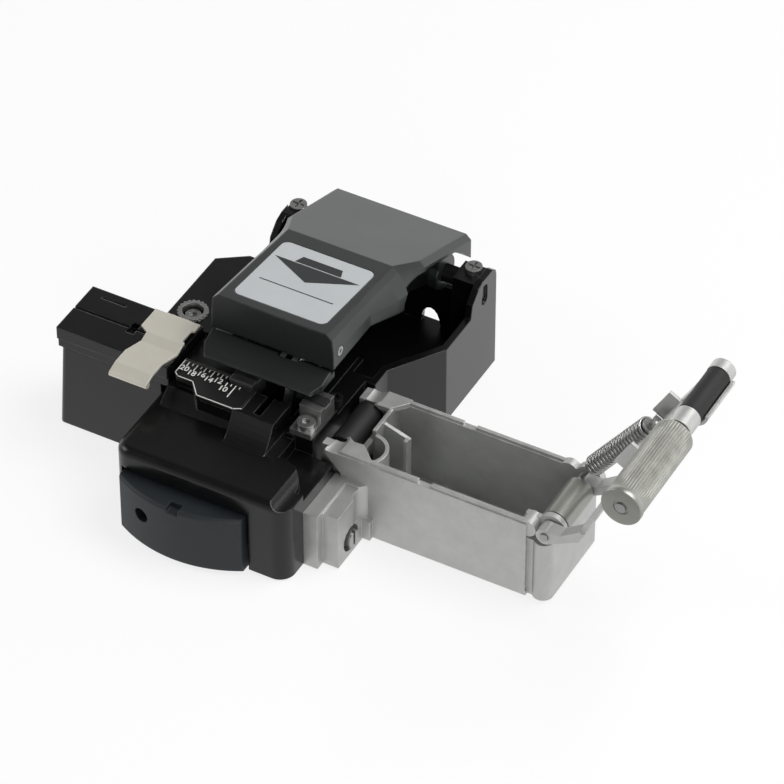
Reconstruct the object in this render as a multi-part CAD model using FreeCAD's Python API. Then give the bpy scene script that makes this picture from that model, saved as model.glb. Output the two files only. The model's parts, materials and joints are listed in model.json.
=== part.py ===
"""Fibre cleaver with a press lever, a sliding blade carriage and a scrap collector with a hinged lid.

Frame: millimetres, +Z up, +X towards the scrap collector, +Y towards the lever hinge.
The origin is on the resting surface, under the middle of the main casting.
The pieces are written at the pose in which the cleaver is loaded: the lever raised a little, the
blade carriage pushed home and the collector lid swung open.
"""
import FreeCAD, Part
import math
import os

V = FreeCAD.Vector

# ---------------------------------------------------------------- driving dimensions
# Clearances
contact_gap = 0.3            # between pieces that lie side by side without touching
running_fit = 0.04           # radial, shaft in bore
screw_fit = 0.15             # radial, screw shank in a through hole

# Main casting
casting_half_width = 20.3    # front block
casting_front_y = -40.2
casting_rear_y = 40.2
foot_height = 0.5            # the casting stands this far above the surface
deck_z = 20.7                # top of the front block
upper_deck_z = 26.0          # top of the raised deck beside the lever
upper_deck_left_x = -28.0
upper_deck_front_y = -6.1
upper_deck_rear_y = 15.0
rear_half_width = 25.5
rear_left_x = -23.1
rear_crease_y = 18.2
rear_wall_z = 20.6
rear_wall = 1.5
rear_floor_z = 6.0
front_corner_radius = 3.5
deck_edge_radius = 1.8

# Hinge posts and lever hinge
post_width = 7.2
post_depth = 6.2
post_top_z = 27.2           # right post
left_post_top_z = 26.4
hinge_seat_z = 25.7          # seats of the two hinge screws
arch_wall_z = 17.5           # wall between the posts
drain_x = 10.7               # the two arched openings in that wall
drain_half_width = 2.3
drain_height = 4.3
hinge_y = 38.0
hinge_z = 22.4
hinge_shaft_d = 4.0
hinge_screw_head_d = 3.7
hinge_screw_head_h = 1.2
hinge_screw_d = 2.0

# Fibre line, clamps and blade
fibre_y = -13.75
fibre_z = 27.0
bed_depth = 5.6
bed_top_z = 26.6
bed_foot_z = 22.0
pad_depth = 2.4
pad_rise = 0.3               # rubber pad above its bed
left_bed_x0 = -6.2
left_bed_x1 = -0.9
right_bed_x0 = 10.2
right_bed_x1 = 15.2
blade_x = 3.9
blade_d = 16.0
blade_t = 0.8
blade_bore = 3.0
blade_hub_d = 5.4
blade_hub_w = 1.6
blade_slot_x0 = 0.7
blade_slit = 1.6             # opening in the guard for the blade's edge
guard_front_y = -28.3
guard_top_y = -24.1
guard_roof_t = 1.3
guard_rear_y = -17.2
blade_slot_x1 = 7.6
blade_rest_y = -4.8
slider_travel = 12.0

# Slider recess, carriage and knob
recess_x0 = -18.3
recess_x1 = 11.4
recess_top_z = 15.9
cavity_top_z = 16.2
cavity_rear_y = 6.0
knob_gap = 0.5
knob_top_z = 15.1
knob_bottom_z = 0.8
knob_end_y = -42.0
knob_bulge = 3.8
knob_back_y = -37.6
knob_hole_d = 3.4
rail_width = 5.0
rail_height = 3.2
rail_x = -4.0
rail_rear_y = 5.0
rail_front_y = -34.0
carriage_bottom_z = 3.5
carriage_top_z = 11.0
carriage_rear_y = 3.5
block_length = 21.0
block_width = 11.0

# Scale plate
scale_x0 = -17.4
scale_x1 = 0.4
scale_front_y = -23.9
scale_step_y = -20.7
scale_back_y = -15.0
scale_t = 1.0

# Fibre holder on the left
holder_left_x = -44.4
holder_front_y = -20.5
holder_rear_y = -6.4
holder_block_top_z = 22.0
holder_top_z = 27.5
holder_lip = 0.5
holder_draft = 1.4           # the block's left wall leans out by this much at the bottom
groove_width = 0.8
groove_depth = 0.6
holder_plate_x1 = -18.4
leaf_x0 = -29.0
leaf_x1 = -18.3
leaf_waist = 2.0             # the leaf is this much narrower over the fibre
leaf_reach = 6.3             # the finger lip stands this far in front of the holder
leaf_t = 0.5
leaf_pin_d = 1.6

# Lever, in the raised pose
lever_front_y = -9.6
lever_front_top_z = 41.0
lever_front_bottom_z = 32.0
lever_ridge_y = 18.9
lever_ridge_z = 37.6
lever_rear_y = 45.4
lever_rear_top_z = 27.9
lever_rear_bottom_z = 20.4
lever_front_half_width = 14.0
lever_ridge_half_width = 13.6
lever_flare_half_width = 16.6
lever_flare_y = 25.5
lever_rear_half_width = 16.7
lever_wall = 1.6
label_length = 22.0
label_width = 21.6
label_t = 0.3
arm_front_y = -16.2
arm_front_z = 29.3
arm_plate_front_z = 29.95
arm_plate_back_z = 31.9
arm_cover_t = 0.5
press_gap = 0.35             # the arm's slope ends this far in front of the lever
arm_side_top_z = 30.6
arm_half_width = 13.9

# Scrap collector
box_x0 = 18.1
box_x1 = 69.5
box_front_y = -20.3
box_rear_y = 0.6
box_bottom_z = 1.0
box_top_z = 21.4
box_wall = 1.3
rim_rise = 0.8
rim_gap_x = 41.0
rim_gap = 3.0
flange_front_y = -33.3
flange_top_z = 14.7
flange_t = 3.3
partition_x = 24.0

# Collector lid
lid_pin_x = 68.6
lid_pin_z = 19.8
lid_pin_d = 1.8
lid_tube_d = 6.2
lid_plate_t = 1.2
lid_open = 120.0             # degrees, from closed to the pose shown
lid_spring_d = 4.2
lid_spring_wire = 0.55
lid_spring_pitch = 0.95

# Feed rollers
roller_x = 19.4
lower_roller_z = 17.6
lower_roller_d = 6.0
upper_roller_d = 5.0
roller_gap = 0.3
roller_shaft_d = 2.2
roller_front_y = -15.4
roller_rear_y = -3.6
feed_knob_d = 8.0
feed_knob_front_y = -44.9
feed_knob_rear_y = -21.5
feed_disc_d = 8.6
feed_disc_t = 1.6
feed_flutes = 28

# Small screws and feet
cover_t = 1.0
cover_screw_head_d = 3.6
foot_d = 7.0

# ---------------------------------------------------------------- derived places
casting_bottom_z = foot_height
upper_roller_z = lower_roller_z + (lower_roller_d + upper_roller_d) / 2 + roller_gap
bed_y0 = fibre_y - bed_depth / 2
bed_y1 = fibre_y + bed_depth / 2
lower_pad_top_z = bed_top_z + pad_rise
blade_z = fibre_z - blade_d / 2
slot_front_y = blade_rest_y - slider_travel - blade_d / 2 - 0.4
knob_x0 = recess_x0 + knob_gap
knob_x1 = recess_x1 - knob_gap
carriage_front_y = knob_back_y
rail_x0 = rail_x - rail_width / 2
rail_x1 = rail_x + rail_width / 2
rail_z0 = cavity_top_z - rail_height
hinge = V(0, hinge_y, hinge_z)
lid_pin = V(lid_pin_x, 0, lid_pin_z)
knob_scoop_r = feed_knob_d / 2 + 0.25
arm_end_r = 2.6
collar_scoop_r = arm_end_r + 0.4


# ---------------------------------------------------------------- construction helpers
def block(x0, x1, y0, y1, z0, z1):
    return Part.makeBox(x1 - x0, y1 - y0, z1 - z0, V(x0, y0, z0))


def rod(start, direction, length, diameter):
    return Part.makeCylinder(diameter / 2, length, start, direction)


def rod_x(x0, x1, y, z, diameter):
    return rod(V(x0, y, z), V(1, 0, 0), x1 - x0, diameter)


def rod_y(y0, y1, x, z, diameter):
    return rod(V(x, y0, z), V(0, 1, 0), y1 - y0, diameter)


def rod_z(z0, z1, x, y, diameter):
    return rod(V(x, y, z0), V(0, 0, 1), z1 - z0, diameter)


def prism(points, direction):
    wire = Part.makePolygon(points + [points[0]])
    return Part.Face(wire).extrude(direction)


def prism_x(outline, x0, x1):
    """Extrude a (y, z) outline along X."""
    return prism([V(x0, y, z) for y, z in outline], V(x1 - x0, 0, 0))


def prism_y(outline, y0, y1):
    """Extrude an (x, z) outline along Y."""
    return prism([V(x, y0, z) for x, z in outline], V(0, y1 - y0, 0))


def prism_z(outline, z0, z1):
    """Extrude an (x, y) outline along Z."""
    return prism([V(x, y, z0) for x, y in outline], V(0, 0, z1 - z0))


def fuse(first, *others):
    shape = first.fuse(list(others))
    return shape.removeSplitter()


def cut(first, *tools):
    return first.cut(list(tools))


def edges_where(shape, test):
    """The edges whose two ends both pass the test."""
    found = []
    for edge in shape.Edges:
        if len(edge.Vertexes) == 2 and all(test(v.Point) for v in edge.Vertexes):
            found.append(edge)
    return found


def near(a, b):
    return abs(a - b) < 1e-4


def turned(shape, centre, axis, angle):
    copy = shape.copy()
    copy.rotate(centre, axis, angle)
    return copy


def opened_lid(shape):
    """Swing a lid piece, drawn closed, to the open pose."""
    return turned(shape, lid_pin, V(0, 1, 0), lid_open)


def socket_screw(tip, direction, shank_d, shank_l, head_d, head_h, socket_d):
    """A screw whose head starts at the tip plus its shank, with a hexagon socket."""
    axis = V(direction)
    shank = rod(tip, axis, shank_l, shank_d)
    seat = tip + axis * shank_l
    head = rod(seat, axis, head_h, head_d)
    screw = fuse(shank, head)
    return cut(screw, hexagon(seat + axis * (head_h * 0.4), axis, head_h, socket_d))


def hexagon(centre, axis, length, across):
    """A hexagonal prism, for sockets."""
    side = V(0, 0, 1) if abs(axis.z) < 0.5 else V(1, 0, 0)
    corners = []
    for index in range(6):
        corner = FreeCAD.Rotation(axis, 60 * index).multVec(side * (across / math.sqrt(3)))
        corners.append(centre + corner)
    return prism(corners, axis * length)


# ---------------------------------------------------------------- main casting
def front_block():
    shape = block(-casting_half_width, casting_half_width, casting_front_y,
                  upper_deck_front_y, casting_bottom_z, deck_z)
    upright = edges_where(shape, lambda p: near(p.y, casting_front_y))
    upright = [e for e in upright if abs(e.Vertexes[0].Point.z - e.Vertexes[1].Point.z) > 1]
    shape = shape.makeFillet(front_corner_radius, upright)
    front_top = [e for e in shape.Edges if all(near(v.Point.z, deck_z) for v in e.Vertexes)]
    front_top = [e for e in front_top
                 if all(v.Point.y < casting_front_y + front_corner_radius + 0.1 for v in e.Vertexes)]
    return shape.makeFillet(deck_edge_radius, front_top)


def low_body():
    """The casting behind the front block, up to the rear wall's height."""
    side_x = box_x0 - contact_gap
    outline = [(-casting_half_width, upper_deck_front_y - 1), (side_x, upper_deck_front_y - 1),
               (side_x, box_rear_y + 6), (rear_half_width, rear_crease_y),
               (rear_half_width, casting_rear_y), (rear_left_x, casting_rear_y),
               (rear_left_x, rear_crease_y + 1), (upper_deck_left_x, upper_deck_rear_y),
               (upper_deck_left_x, upper_deck_front_y), (-casting_half_width, upper_deck_front_y)]
    return prism_z(outline, casting_bottom_z, rear_wall_z)


def raised_deck():
    """The deck that carries the adjusting screw, left of the lever."""
    outline = [(upper_deck_left_x, upper_deck_front_y), (upper_deck_left_x, upper_deck_rear_y),
               (-22.0, upper_deck_rear_y + 4.2), (-14.0, upper_deck_rear_y + 4.2),
               (-9.5, upper_deck_rear_y), (-9.5, upper_deck_front_y)]
    return prism_z(outline, deck_z - 1, upper_deck_z)


def scale_outline(margin):
    """Plan of the scale plate: it widens in front of the left clamp."""
    return [(scale_x0 + margin, scale_back_y - margin),
            (scale_x0 + margin, scale_step_y + 1.1), (scale_x0 + 1.0, scale_step_y + margin),
            (scale_x0 + 4.7, scale_step_y + margin), (scale_x0 + 7.5, scale_front_y + margin),
            (scale_x1 - 1.6, scale_front_y + margin), (scale_x1 - margin, scale_front_y + 0.9),
            (scale_x1 - margin, bed_y0 - 0.6), (left_bed_x0 - 0.4, bed_y0 - 0.6),
            (left_bed_x0 - 0.4, scale_back_y - margin)]


def clamp_bridge():
    """Pedestals under the scale plate and both lower clamps."""
    under_scale = prism_z(scale_outline(0.4), deck_z - 1, upper_deck_z - scale_t)
    left_shelf = block(holder_plate_x1 + contact_gap, left_bed_x0 - 0.3, scale_back_y - 3,
                       upper_deck_front_y + 1, deck_z - 1, upper_deck_z - scale_t)
    skirt_outline = [(scale_front_y - 1.6, deck_z - 0.5), (scale_front_y + 2.4, deck_z + 2.6),
                     (scale_back_y, deck_z + 2.6), (scale_back_y, deck_z - 0.5)]
    ramp = prism_x(skirt_outline, holder_plate_x1 + contact_gap, left_bed_x1 + 0.8)
    return [under_scale, left_shelf, ramp]


def hinge_post(outer_x, inner_x, top_z):
    """Post with a rounded top, hollow in front of the hinge."""
    rear = casting_rear_y
    outline = [(rear - 11.5, rear_wall_z - 1), (rear - 11.3, rear_wall_z),
               (rear - 10.6, top_z - 3.2), (rear - 8.0, top_z - 0.8), (rear - 5.7, top_z),
               (rear - 1.7, top_z), (rear - 0.4, top_z - 0.9), (rear, top_z - 2.2),
               (rear, rear_wall_z - 1)]
    x0, x1 = sorted((outer_x, inner_x))
    post = prism_x(outline, x0, x1)
    thin_x = outer_x - math.copysign(rear_wall, outer_x)
    a, b = sorted((thin_x, inner_x - math.copysign(1, outer_x)))
    hollow = block(a, b, rear - 13, rear - post_depth, rear_wall_z - 2, top_z + 1)
    return cut(post, hollow)


def hinge_screw_seats():
    """A flat for the right screw, with the outer wall standing proud, and a round one left."""
    flat = block(rear_half_width - post_width - 1, rear_half_width - rear_wall,
                 casting_rear_y - post_depth - 1, casting_rear_y + 1, hinge_seat_z, post_top_z + 1)
    spot = rod_z(hinge_seat_z, post_top_z + 1, left_screw_x, hinge_y, hinge_screw_head_d + 0.9)
    return [flat, spot]


def side_recess():
    """Shallow oval on the right post's outer face."""
    y, z = hinge_y - 3.1, hinge_z + 0.7
    x0 = rear_half_width - 0.5
    x1 = rear_half_width + 1
    return [block(x0, x1, y - 1.3, y + 1.3, z - 1.3, z + 1.3),
            rod_x(x0, x1, y, z - 1.3, 2.6), rod_x(x0, x1, y, z + 1.3, 2.6)]


def rear_cavity():
    """The well under the lever, with a low wall between the posts."""
    inner_right = rear_half_width - rear_wall
    inner_left = rear_left_x + rear_wall
    post_in = rear_half_width - post_width
    left_in = -post_in + 1.2
    post_front = casting_rear_y - post_depth
    side_x = box_x0 - contact_gap - rear_wall
    bay_y = box_rear_y + 2.6
    back = casting_rear_y - rear_wall
    outline = [(blade_slot_x1 + 4.2, bay_y), (side_x, bay_y), (side_x, cavity_rear_y + 1.5),
               (inner_right, rear_crease_y + 1), (inner_right, post_front), (post_in, post_front),
               (post_in, back), (left_in, back), (left_in, post_front),
               (inner_left, post_front), (inner_left, upper_deck_rear_y + 5.8),
               (-13.0, upper_deck_rear_y + 5.8), (-8.0, upper_deck_rear_y + 1),
               (-8.0, cavity_rear_y + 1.5), (blade_slot_x1 + 4.2, cavity_rear_y + 1.5)]
    well = prism_z(outline, rear_floor_z, post_top_z + 5)
    gap = block(left_in, post_in, back - 0.1, casting_rear_y + 1, arch_wall_z, post_top_z + 5)
    return [well, gap, drain_arch(-drain_x), drain_arch(drain_x)]


def drain_arch(x):
    """A small arched opening at the foot of the rear wall."""
    outline = []
    for step in range(9):
        angle = math.pi * step / 8
        outline.append((x + drain_half_width * math.cos(angle),
                        rear_floor_z + drain_height * math.sin(angle)))
    return prism_y(outline, casting_rear_y - rear_wall - 1, casting_rear_y + 1)


def slider_cavity():
    """The channel that the blade carriage slides in, open in front and below."""
    mouth = block(recess_x0, recess_x1, casting_front_y - 1, knob_back_y + slider_travel / 4,
                  casting_bottom_z - 1, recess_top_z)
    channel = block(recess_x0, recess_x1, knob_back_y, cavity_rear_y, casting_bottom_z - 1,
                    cavity_top_z)
    return [mouth, channel]


def blade_guard():
    """Hump over the front end of the blade's slot, with a hollow ramp in front."""
    curve = [(guard_front_y, deck_z)]
    for step in range(1, 7):
        share = step / 6
        y = guard_front_y + share * (guard_top_y - guard_front_y)
        curve.append((y, deck_z + (upper_deck_z - deck_z) * share ** 1.6))
    outline = curve + [(guard_rear_y, upper_deck_z), (guard_rear_y, deck_z - 1),
                       (guard_front_y, deck_z - 1)]
    return prism_x(outline, scale_x1 - 1.6, blade_slot_x1 + 0.8)


def blade_slot():
    """The channel that the blade's edge runs in, with a slit through the guard."""
    open_part = block(blade_slot_x0, blade_slot_x1, guard_rear_y, cavity_rear_y,
                      cavity_top_z - 1, post_top_z)
    under = block(blade_slot_x0, blade_slot_x1, slot_front_y, guard_rear_y + 1, cavity_top_z - 1,
                  deck_z + 1.7)
    roof_room = block(blade_slot_x0, blade_slot_x1, guard_top_y - 0.1, guard_rear_y + 1,
                      deck_z + 1, upper_deck_z - guard_roof_t)
    slit = block(blade_x - blade_slit / 2, blade_x + blade_slit / 2, guard_top_y + 1.2,
                 guard_rear_y + 1, cavity_top_z, post_top_z)
    return [open_part, under, roof_room, slit]


def collector_pocket():
    """Room for the collector's left end and the lower roller."""
    y0 = box_front_y - 0.4
    y1 = box_rear_y + 0.4
    low = block(box_x0 - contact_gap, rear_half_width, y0, y1, casting_bottom_z - 1, deck_z + 8)
    high = block(roller_x - 4.0, rear_half_width, y0, y1, lower_roller_z - 8.5, deck_z + 8)
    return [low, high]


def right_trench():
    """The low shelf beside the right clamp."""
    return block(right_bed_x1 + 0.3, roller_x, bed_y1, box_rear_y + 1.0, lower_roller_z - 4,
                 post_top_z)


def knob_relief():
    """Clearance for the feed knob when the lid is closed, with a rounded inner corner."""
    scoop = rod_y(casting_front_y - 6, box_front_y, roller_x, upper_roller_z, 2 * knob_scoop_r)
    x0 = right_bed_x0 + 1.0
    y0 = scale_front_y - 3.1
    top = deck_z + 4
    bottom = deck_z - 3.0
    pocket = block(x0, casting_half_width + 1, y0 - 6, box_front_y, bottom, top)
    keep = rod_z(bottom - 1, top + 1, x0 + 1.2, y0 - 6.0, 12.0)
    keep_side = block(x0 - 1, x0 + 1.2, y0 - 12, y0, bottom - 1, top + 1)
    return [scoop, cut(pocket, keep, keep_side)]


def cover_pocket():
    return block(recess_x0 - 1.0, recess_x1 + 1.4, knob_back_y + 3.6, cavity_rear_y + 2.4,
                 casting_bottom_z - 1, casting_bottom_z + cover_t + 0.1)


def cover_screw_places():
    x0 = recess_x0 - 1.0 + 2.6
    x1 = recess_x1 + 1.4 - 2.6
    return [(x0, cavity_rear_y + 0.6), (x1, cavity_rear_y + 0.6)]


def deck_seats():
    """Seats for the lower beds and the scale plate."""
    seats = [prism_z(scale_outline(0.0), upper_deck_z - scale_t, upper_deck_z + 1)]
    side = 0.05
    for x0, x1 in ((left_bed_x0, left_bed_x1), (right_bed_x0, right_bed_x1)):
        seats.append(block(x0 - side, x1 + side, bed_y0 - side, bed_y1 + side, bed_foot_z,
                           post_top_z))
    return seats


def main_casting():
    parts = [front_block(), low_body(), raised_deck(), blade_guard()] + clamp_bridge()
    parts.append(block(-casting_half_width, blade_slot_x1 + 3, upper_deck_front_y - 2,
                       cavity_rear_y + 1.5, cavity_top_z - 1, deck_z))
    parts.append(block(right_bed_x0 - 0.6, right_bed_x1 + 0.3, bed_y0 - 4.4, bed_y1 + 1,
                       deck_z - 4, bed_foot_z))
    right_in = rear_half_width - post_width
    parts.append(hinge_post(rear_half_width, right_in, post_top_z))
    parts.append(hinge_post(rear_left_x, -right_in + 1.2, left_post_top_z))
    body = fuse(*parts)
    tools = rear_cavity() + collector_pocket() + [right_trench(), cover_pocket()]
    tools += slider_cavity() + blade_slot() + knob_relief() + deck_seats()
    tools += hinge_screw_seats() + side_recess()
    body = cut(body, *tools)
    bores = [rod_x(rear_left_x - 1, rear_half_width - 0.7, hinge_y, hinge_z,
                   hinge_shaft_d + 2 * running_fit)]
    for x in (left_screw_x, hinge_screw_x):
        bores.append(rod_z(hinge_z, hinge_seat_z + 0.1, x, hinge_y, hinge_screw_d + 0.04))
    for x, y in cover_screw_places():
        bores.append(rod_z(casting_bottom_z, casting_bottom_z + 6, x, y, 1.8))
    bores.append(rod_z(upper_deck_z - 6, upper_deck_z + 1, adjust_x, adjust_y, adjust_bore_d))
    bores.append(rod_z(upper_deck_z - adjust_ring_h, upper_deck_z + 1, adjust_x, adjust_y,
                       adjust_ring_d + 0.1))
    bores.append(rod_z(upper_deck_z - 14, upper_deck_z, adjust_x, adjust_y, 2.0))
    bores.append(rod_x(collector_screw_tip_x, casting_half_width + 1, collector_screw_y,
                       collector_screw_z, 2.5))
    bores.append(rod_x(-casting_half_width - 1, -casting_half_width + 2.0, fibre_y, 18.0, 2.0))
    for y in rail_screw_places():
        bores.append(rod_z(cavity_top_z - 1, cavity_top_z + 2.5, rail_x, y, 1.6))
    for x, y in bed_screw_places():
        bores.append(rod_z(bed_foot_z - 3.6, bed_foot_z + 1, x, y, 2.0))
    bores.append(rod_z(deck_z - 4, deck_z + 1, deck_screw_x, deck_screw_y, 1.6))
    return cut(body, *bores)


def bottom_cover():
    plate = block(recess_x0 - 0.8, recess_x1 + 1.2, knob_back_y + 3.8, cavity_rear_y + 2.2,
                  casting_bottom_z, casting_bottom_z + cover_t)
    holes = []
    for x, y in cover_screw_places():
        holes.append(rod_z(casting_bottom_z - 1, casting_bottom_z + 3, x, y, 1.8 + 2 * screw_fit))
        holes.append(rod_z(casting_bottom_z - 1, casting_bottom_z + 0.6, x, y,
                           cover_screw_head_d + 0.3))
    return cut(plate, *holes)


def bottom_cover_screws():
    screws = []
    for x, y in cover_screw_places():
        shank = rod_z(casting_bottom_z + 0.1, casting_bottom_z + 5, x, y, 1.8)
        head = rod_z(casting_bottom_z + 0.05, casting_bottom_z + 0.6, x, y, cover_screw_head_d)
        screws.append(fuse(shank, head))
    return Part.makeCompound(screws)


def base_mat():
    """Rubber mat under the bottom cover, with openings over its screws."""
    mat = block(recess_x0, recess_x1 + 0.4, knob_back_y + 4.6, cavity_rear_y + 1.4, 0, foot_height)
    upright = [e for e in mat.Edges if near(e.BoundBox.ZLength, foot_height)]
    mat = mat.makeFillet(2.0, upright)
    holes = [rod_z(-1, 1, x, y, cover_screw_head_d + 0.8) for x, y in cover_screw_places()]
    return cut(mat, *holes)


def foot_places():
    return [(casting_half_width - 4.6, -33.5),
            (rear_half_width - 5.2, casting_rear_y - 7.0),
            (rear_left_x + 5.2, casting_rear_y - 7.0)]


def rubber_feet():
    feet = []
    for x, y in foot_places():
        foot = rod_z(0, foot_height, x, y, foot_d)
        feet.append(foot.makeFillet(0.2, [e for e in foot.Edges if near(e.BoundBox.ZMax, 0)]))
    return Part.makeCompound(feet)


# ---------------------------------------------------------------- lower clamps and scale
def bed_screw_places():
    return [(left_bed_x0 + 2.4, fibre_y + 1.2), (right_bed_x0 + 2.8, bed_y0 - 2.1)]


def lower_bed(x0, x1, ledge):
    """A steel clamp bed, with a V groove for the fibre and, on the right, a screw ledge."""
    bed = block(x0, x1, bed_y0, bed_y1, bed_foot_z, bed_top_z)
    seat = block(x0 - 1, x1 + 1, fibre_y - pad_depth / 2, fibre_y + pad_depth / 2,
                 bed_top_z - 0.7, bed_top_z + 1)
    if ledge:
        front = block(x0, x1, bed_y0 - 4.2, bed_y0, bed_foot_z, bed_foot_z + 1.4)
        bed = fuse(bed, front)
    bed = cut(bed, seat)
    holes = []
    for x, y in bed_screw_places():
        if x0 < x < x1:
            holes.append(rod_z(bed_foot_z - 1, bed_top_z + 2, x, y, 2.0 + 2 * screw_fit))
            if not ledge:
                holes.append(rod_z(bed_foot_z + 1.4, bed_top_z + 2, x, y, 3.4))
    return cut(bed, *holes)


def lower_pads():
    pads = []
    for x0, x1 in ((left_bed_x0, left_bed_x1), (right_bed_x0, right_bed_x1)):
        pads.append(block(x0 + 0.2, x1 - 0.2, fibre_y - pad_depth / 2, fibre_y + pad_depth / 2,
                          bed_top_z - 0.7, lower_pad_top_z))
    return Part.makeCompound(pads)


def bed_screws():
    screws = []
    for x, y in bed_screw_places():
        tip = V(x, y, bed_foot_z - 3.4)
        head_d = 3.2 if x < 0 else 3.8
        screws.append(socket_screw(tip, V(0, 0, 1), 2.0, 3.4 + 1.4, head_d, 1.4, 1.6))
    return Part.makeCompound(screws)


def scale_plate():
    plate = prism_z(scale_outline(0.0), upper_deck_z - scale_t, upper_deck_z)
    face = prism_z(scale_outline(0.45), upper_deck_z - 0.25, upper_deck_z + 1)
    return cut(plate, face)


# ---------------------------------------------------------------- fibre holder
adjust_x = -23.5
adjust_y = -1.8
adjust_ring_d = 6.6
adjust_ring_h = 1.2
adjust_ring_teeth = 20
adjust_bore_d = 4.6


def holder_block():
    outline = [(holder_left_x - holder_draft, casting_bottom_z),
               (-casting_half_width, casting_bottom_z), (-casting_half_width, holder_block_top_z),
               (holder_left_x, holder_block_top_z)]
    body = prism_y(outline, holder_front_y, holder_rear_y)
    corner = [e for e in body.Edges if e.BoundBox.XMax < holder_left_x + 0.01
              and e.BoundBox.ZLength > 1 and near(e.BoundBox.YMin, holder_front_y)
              and near(e.BoundBox.YMax, holder_front_y)]
    body = body.makeFillet(1.2, corner)
    bore = rod_x(holder_left_x - 1, -casting_half_width + 1, fibre_y, 18.0, 2.0 + 2 * screw_fit)
    head = rod_x(holder_left_x - 1, holder_left_x + 3.0, fibre_y, 18.0, 4.0)
    hollow = block(holder_left_x + 3.4, -casting_half_width - 3.4, holder_front_y + 2.2,
                   holder_rear_y - 2.2, casting_bottom_z - 1, 14.0)
    return cut(body, bore, head, hollow)


def holder_screw():
    tip = V(-casting_half_width + 1.9, fibre_y, 18.0)
    length = -casting_half_width + 1.9 - (holder_left_x + 3.0)
    return socket_screw(tip, V(-1, 0, 0), 2.0, length, 3.8, 2.2, 1.6)


def holder_plate():
    """The grooved top of the holder, with a lip at its left end and seats for the leaf clamp."""
    x0 = holder_left_x - holder_lip
    x1 = holder_plate_x1
    y0 = holder_front_y - holder_lip
    plate = block(x0, x1, y0, holder_rear_y, holder_block_top_z, holder_top_z)
    under_lip = block(x0 - 1, x1 + 1, y0 - 1, holder_front_y, holder_block_top_z - 1,
                      holder_block_top_z + 2.4)
    groove = prism_x([(fibre_y - groove_width / 2, holder_top_z + 0.1),
                      (fibre_y, holder_top_z - groove_depth),
                      (fibre_y + groove_width / 2, holder_top_z + 0.1)], x0 - 1, x1 + 1)
    mark = block(x0 + 3.5, leaf_x0 - 6.6, holder_rear_y - 2.4, holder_rear_y - 1.9,
                 holder_top_z - 0.3, holder_top_z + 1)
    notch = block(leaf_x0 - 2.6, leaf_x0 - 0.8, fibre_y - 1.6, fibre_y + 1.6,
                  holder_top_z - 1.5, holder_top_z + 1)
    hinge_seat = block(knuckle_x0 - 0.3, knuckle_x1 + 0.3, leaf_pin_y - 1.8, holder_rear_y + 1,
                       leaf_pin_z - 1.8, holder_top_z + 1)
    magnet_seat = rod_z(holder_top_z - 2.0, holder_top_z + 1, leaf_mid_x, holder_front_y + 2.6, 3.1)
    pin_bore = rod_x(knuckle_x0 - 1.9, knuckle_x1 + 1.7, leaf_pin_y, leaf_pin_z,
                     leaf_pin_d + 2 * running_fit)
    return cut(plate, under_lip, groove, mark, notch, hinge_seat, magnet_seat, pin_bore)


leaf_mid_x = (leaf_x0 + leaf_x1) / 2
leaf_pin_y = holder_rear_y - 1.1
leaf_pin_z = holder_top_z - 1.0
leaf_high_z = holder_top_z + 1.1
leaf_low_z = holder_top_z + 0.35
leaf_lip_y = holder_front_y - leaf_reach
leaf_lip_z = leaf_low_z - 1.1
knuckle_x0 = leaf_x0 + 2.5
knuckle_x1 = leaf_x1 - 2.3


def holder_magnet():
    return rod_z(holder_top_z - 2.0, holder_top_z - 0.1, leaf_mid_x, holder_front_y + 2.6, 3.0)


def leaf_pin():
    return rod_x(knuckle_x0 - 1.7, knuckle_x1 + 1.5, leaf_pin_y, leaf_pin_z, leaf_pin_d)


def sheet_x(centre_line, thickness, x0, x1):
    """A bent sheet: a (y, z) centre line thickened and extruded along X."""
    top = []
    bottom = []
    last = len(centre_line) - 1
    for index, (y, z) in enumerate(centre_line):
        y0, z0 = centre_line[max(index - 1, 0)]
        y1, z1 = centre_line[min(index + 1, last)]
        length = math.hypot(y1 - y0, z1 - z0)
        ny, nz = -(z1 - z0) / length, (y1 - y0) / length
        top.append((y + ny * thickness / 2, z + nz * thickness / 2))
        bottom.append((y - ny * thickness / 2, z - nz * thickness / 2))
    return prism_x(top + bottom[::-1], x0, x1)


def leaf_plan():
    """Plan of the leaf: waisted on the left over the fibre, notched on the right."""
    front = leaf_lip_y - 2
    return [(leaf_x0, leaf_pin_y + 1), (leaf_x1, leaf_pin_y + 1), (leaf_x1, leaf_pin_y - 2.2),
            (leaf_x1 - 0.7, leaf_pin_y - 2.6), (leaf_x1 - 0.7, fibre_y + 0.2),
            (leaf_x1, fibre_y - 0.2), (leaf_x1, fibre_y - 3.2), (leaf_x1 - 1.2, leaf_lip_y + 6.0),
            (leaf_x1 - 1.2, front), (leaf_x0 + 0.6, front), (leaf_x0 + 0.6, leaf_lip_y + 6.0),
            (leaf_x0 + leaf_waist, fibre_y - 3.0), (leaf_x0 + leaf_waist, fibre_y - 0.8),
            (leaf_x0, fibre_y + 0.4)]


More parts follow.
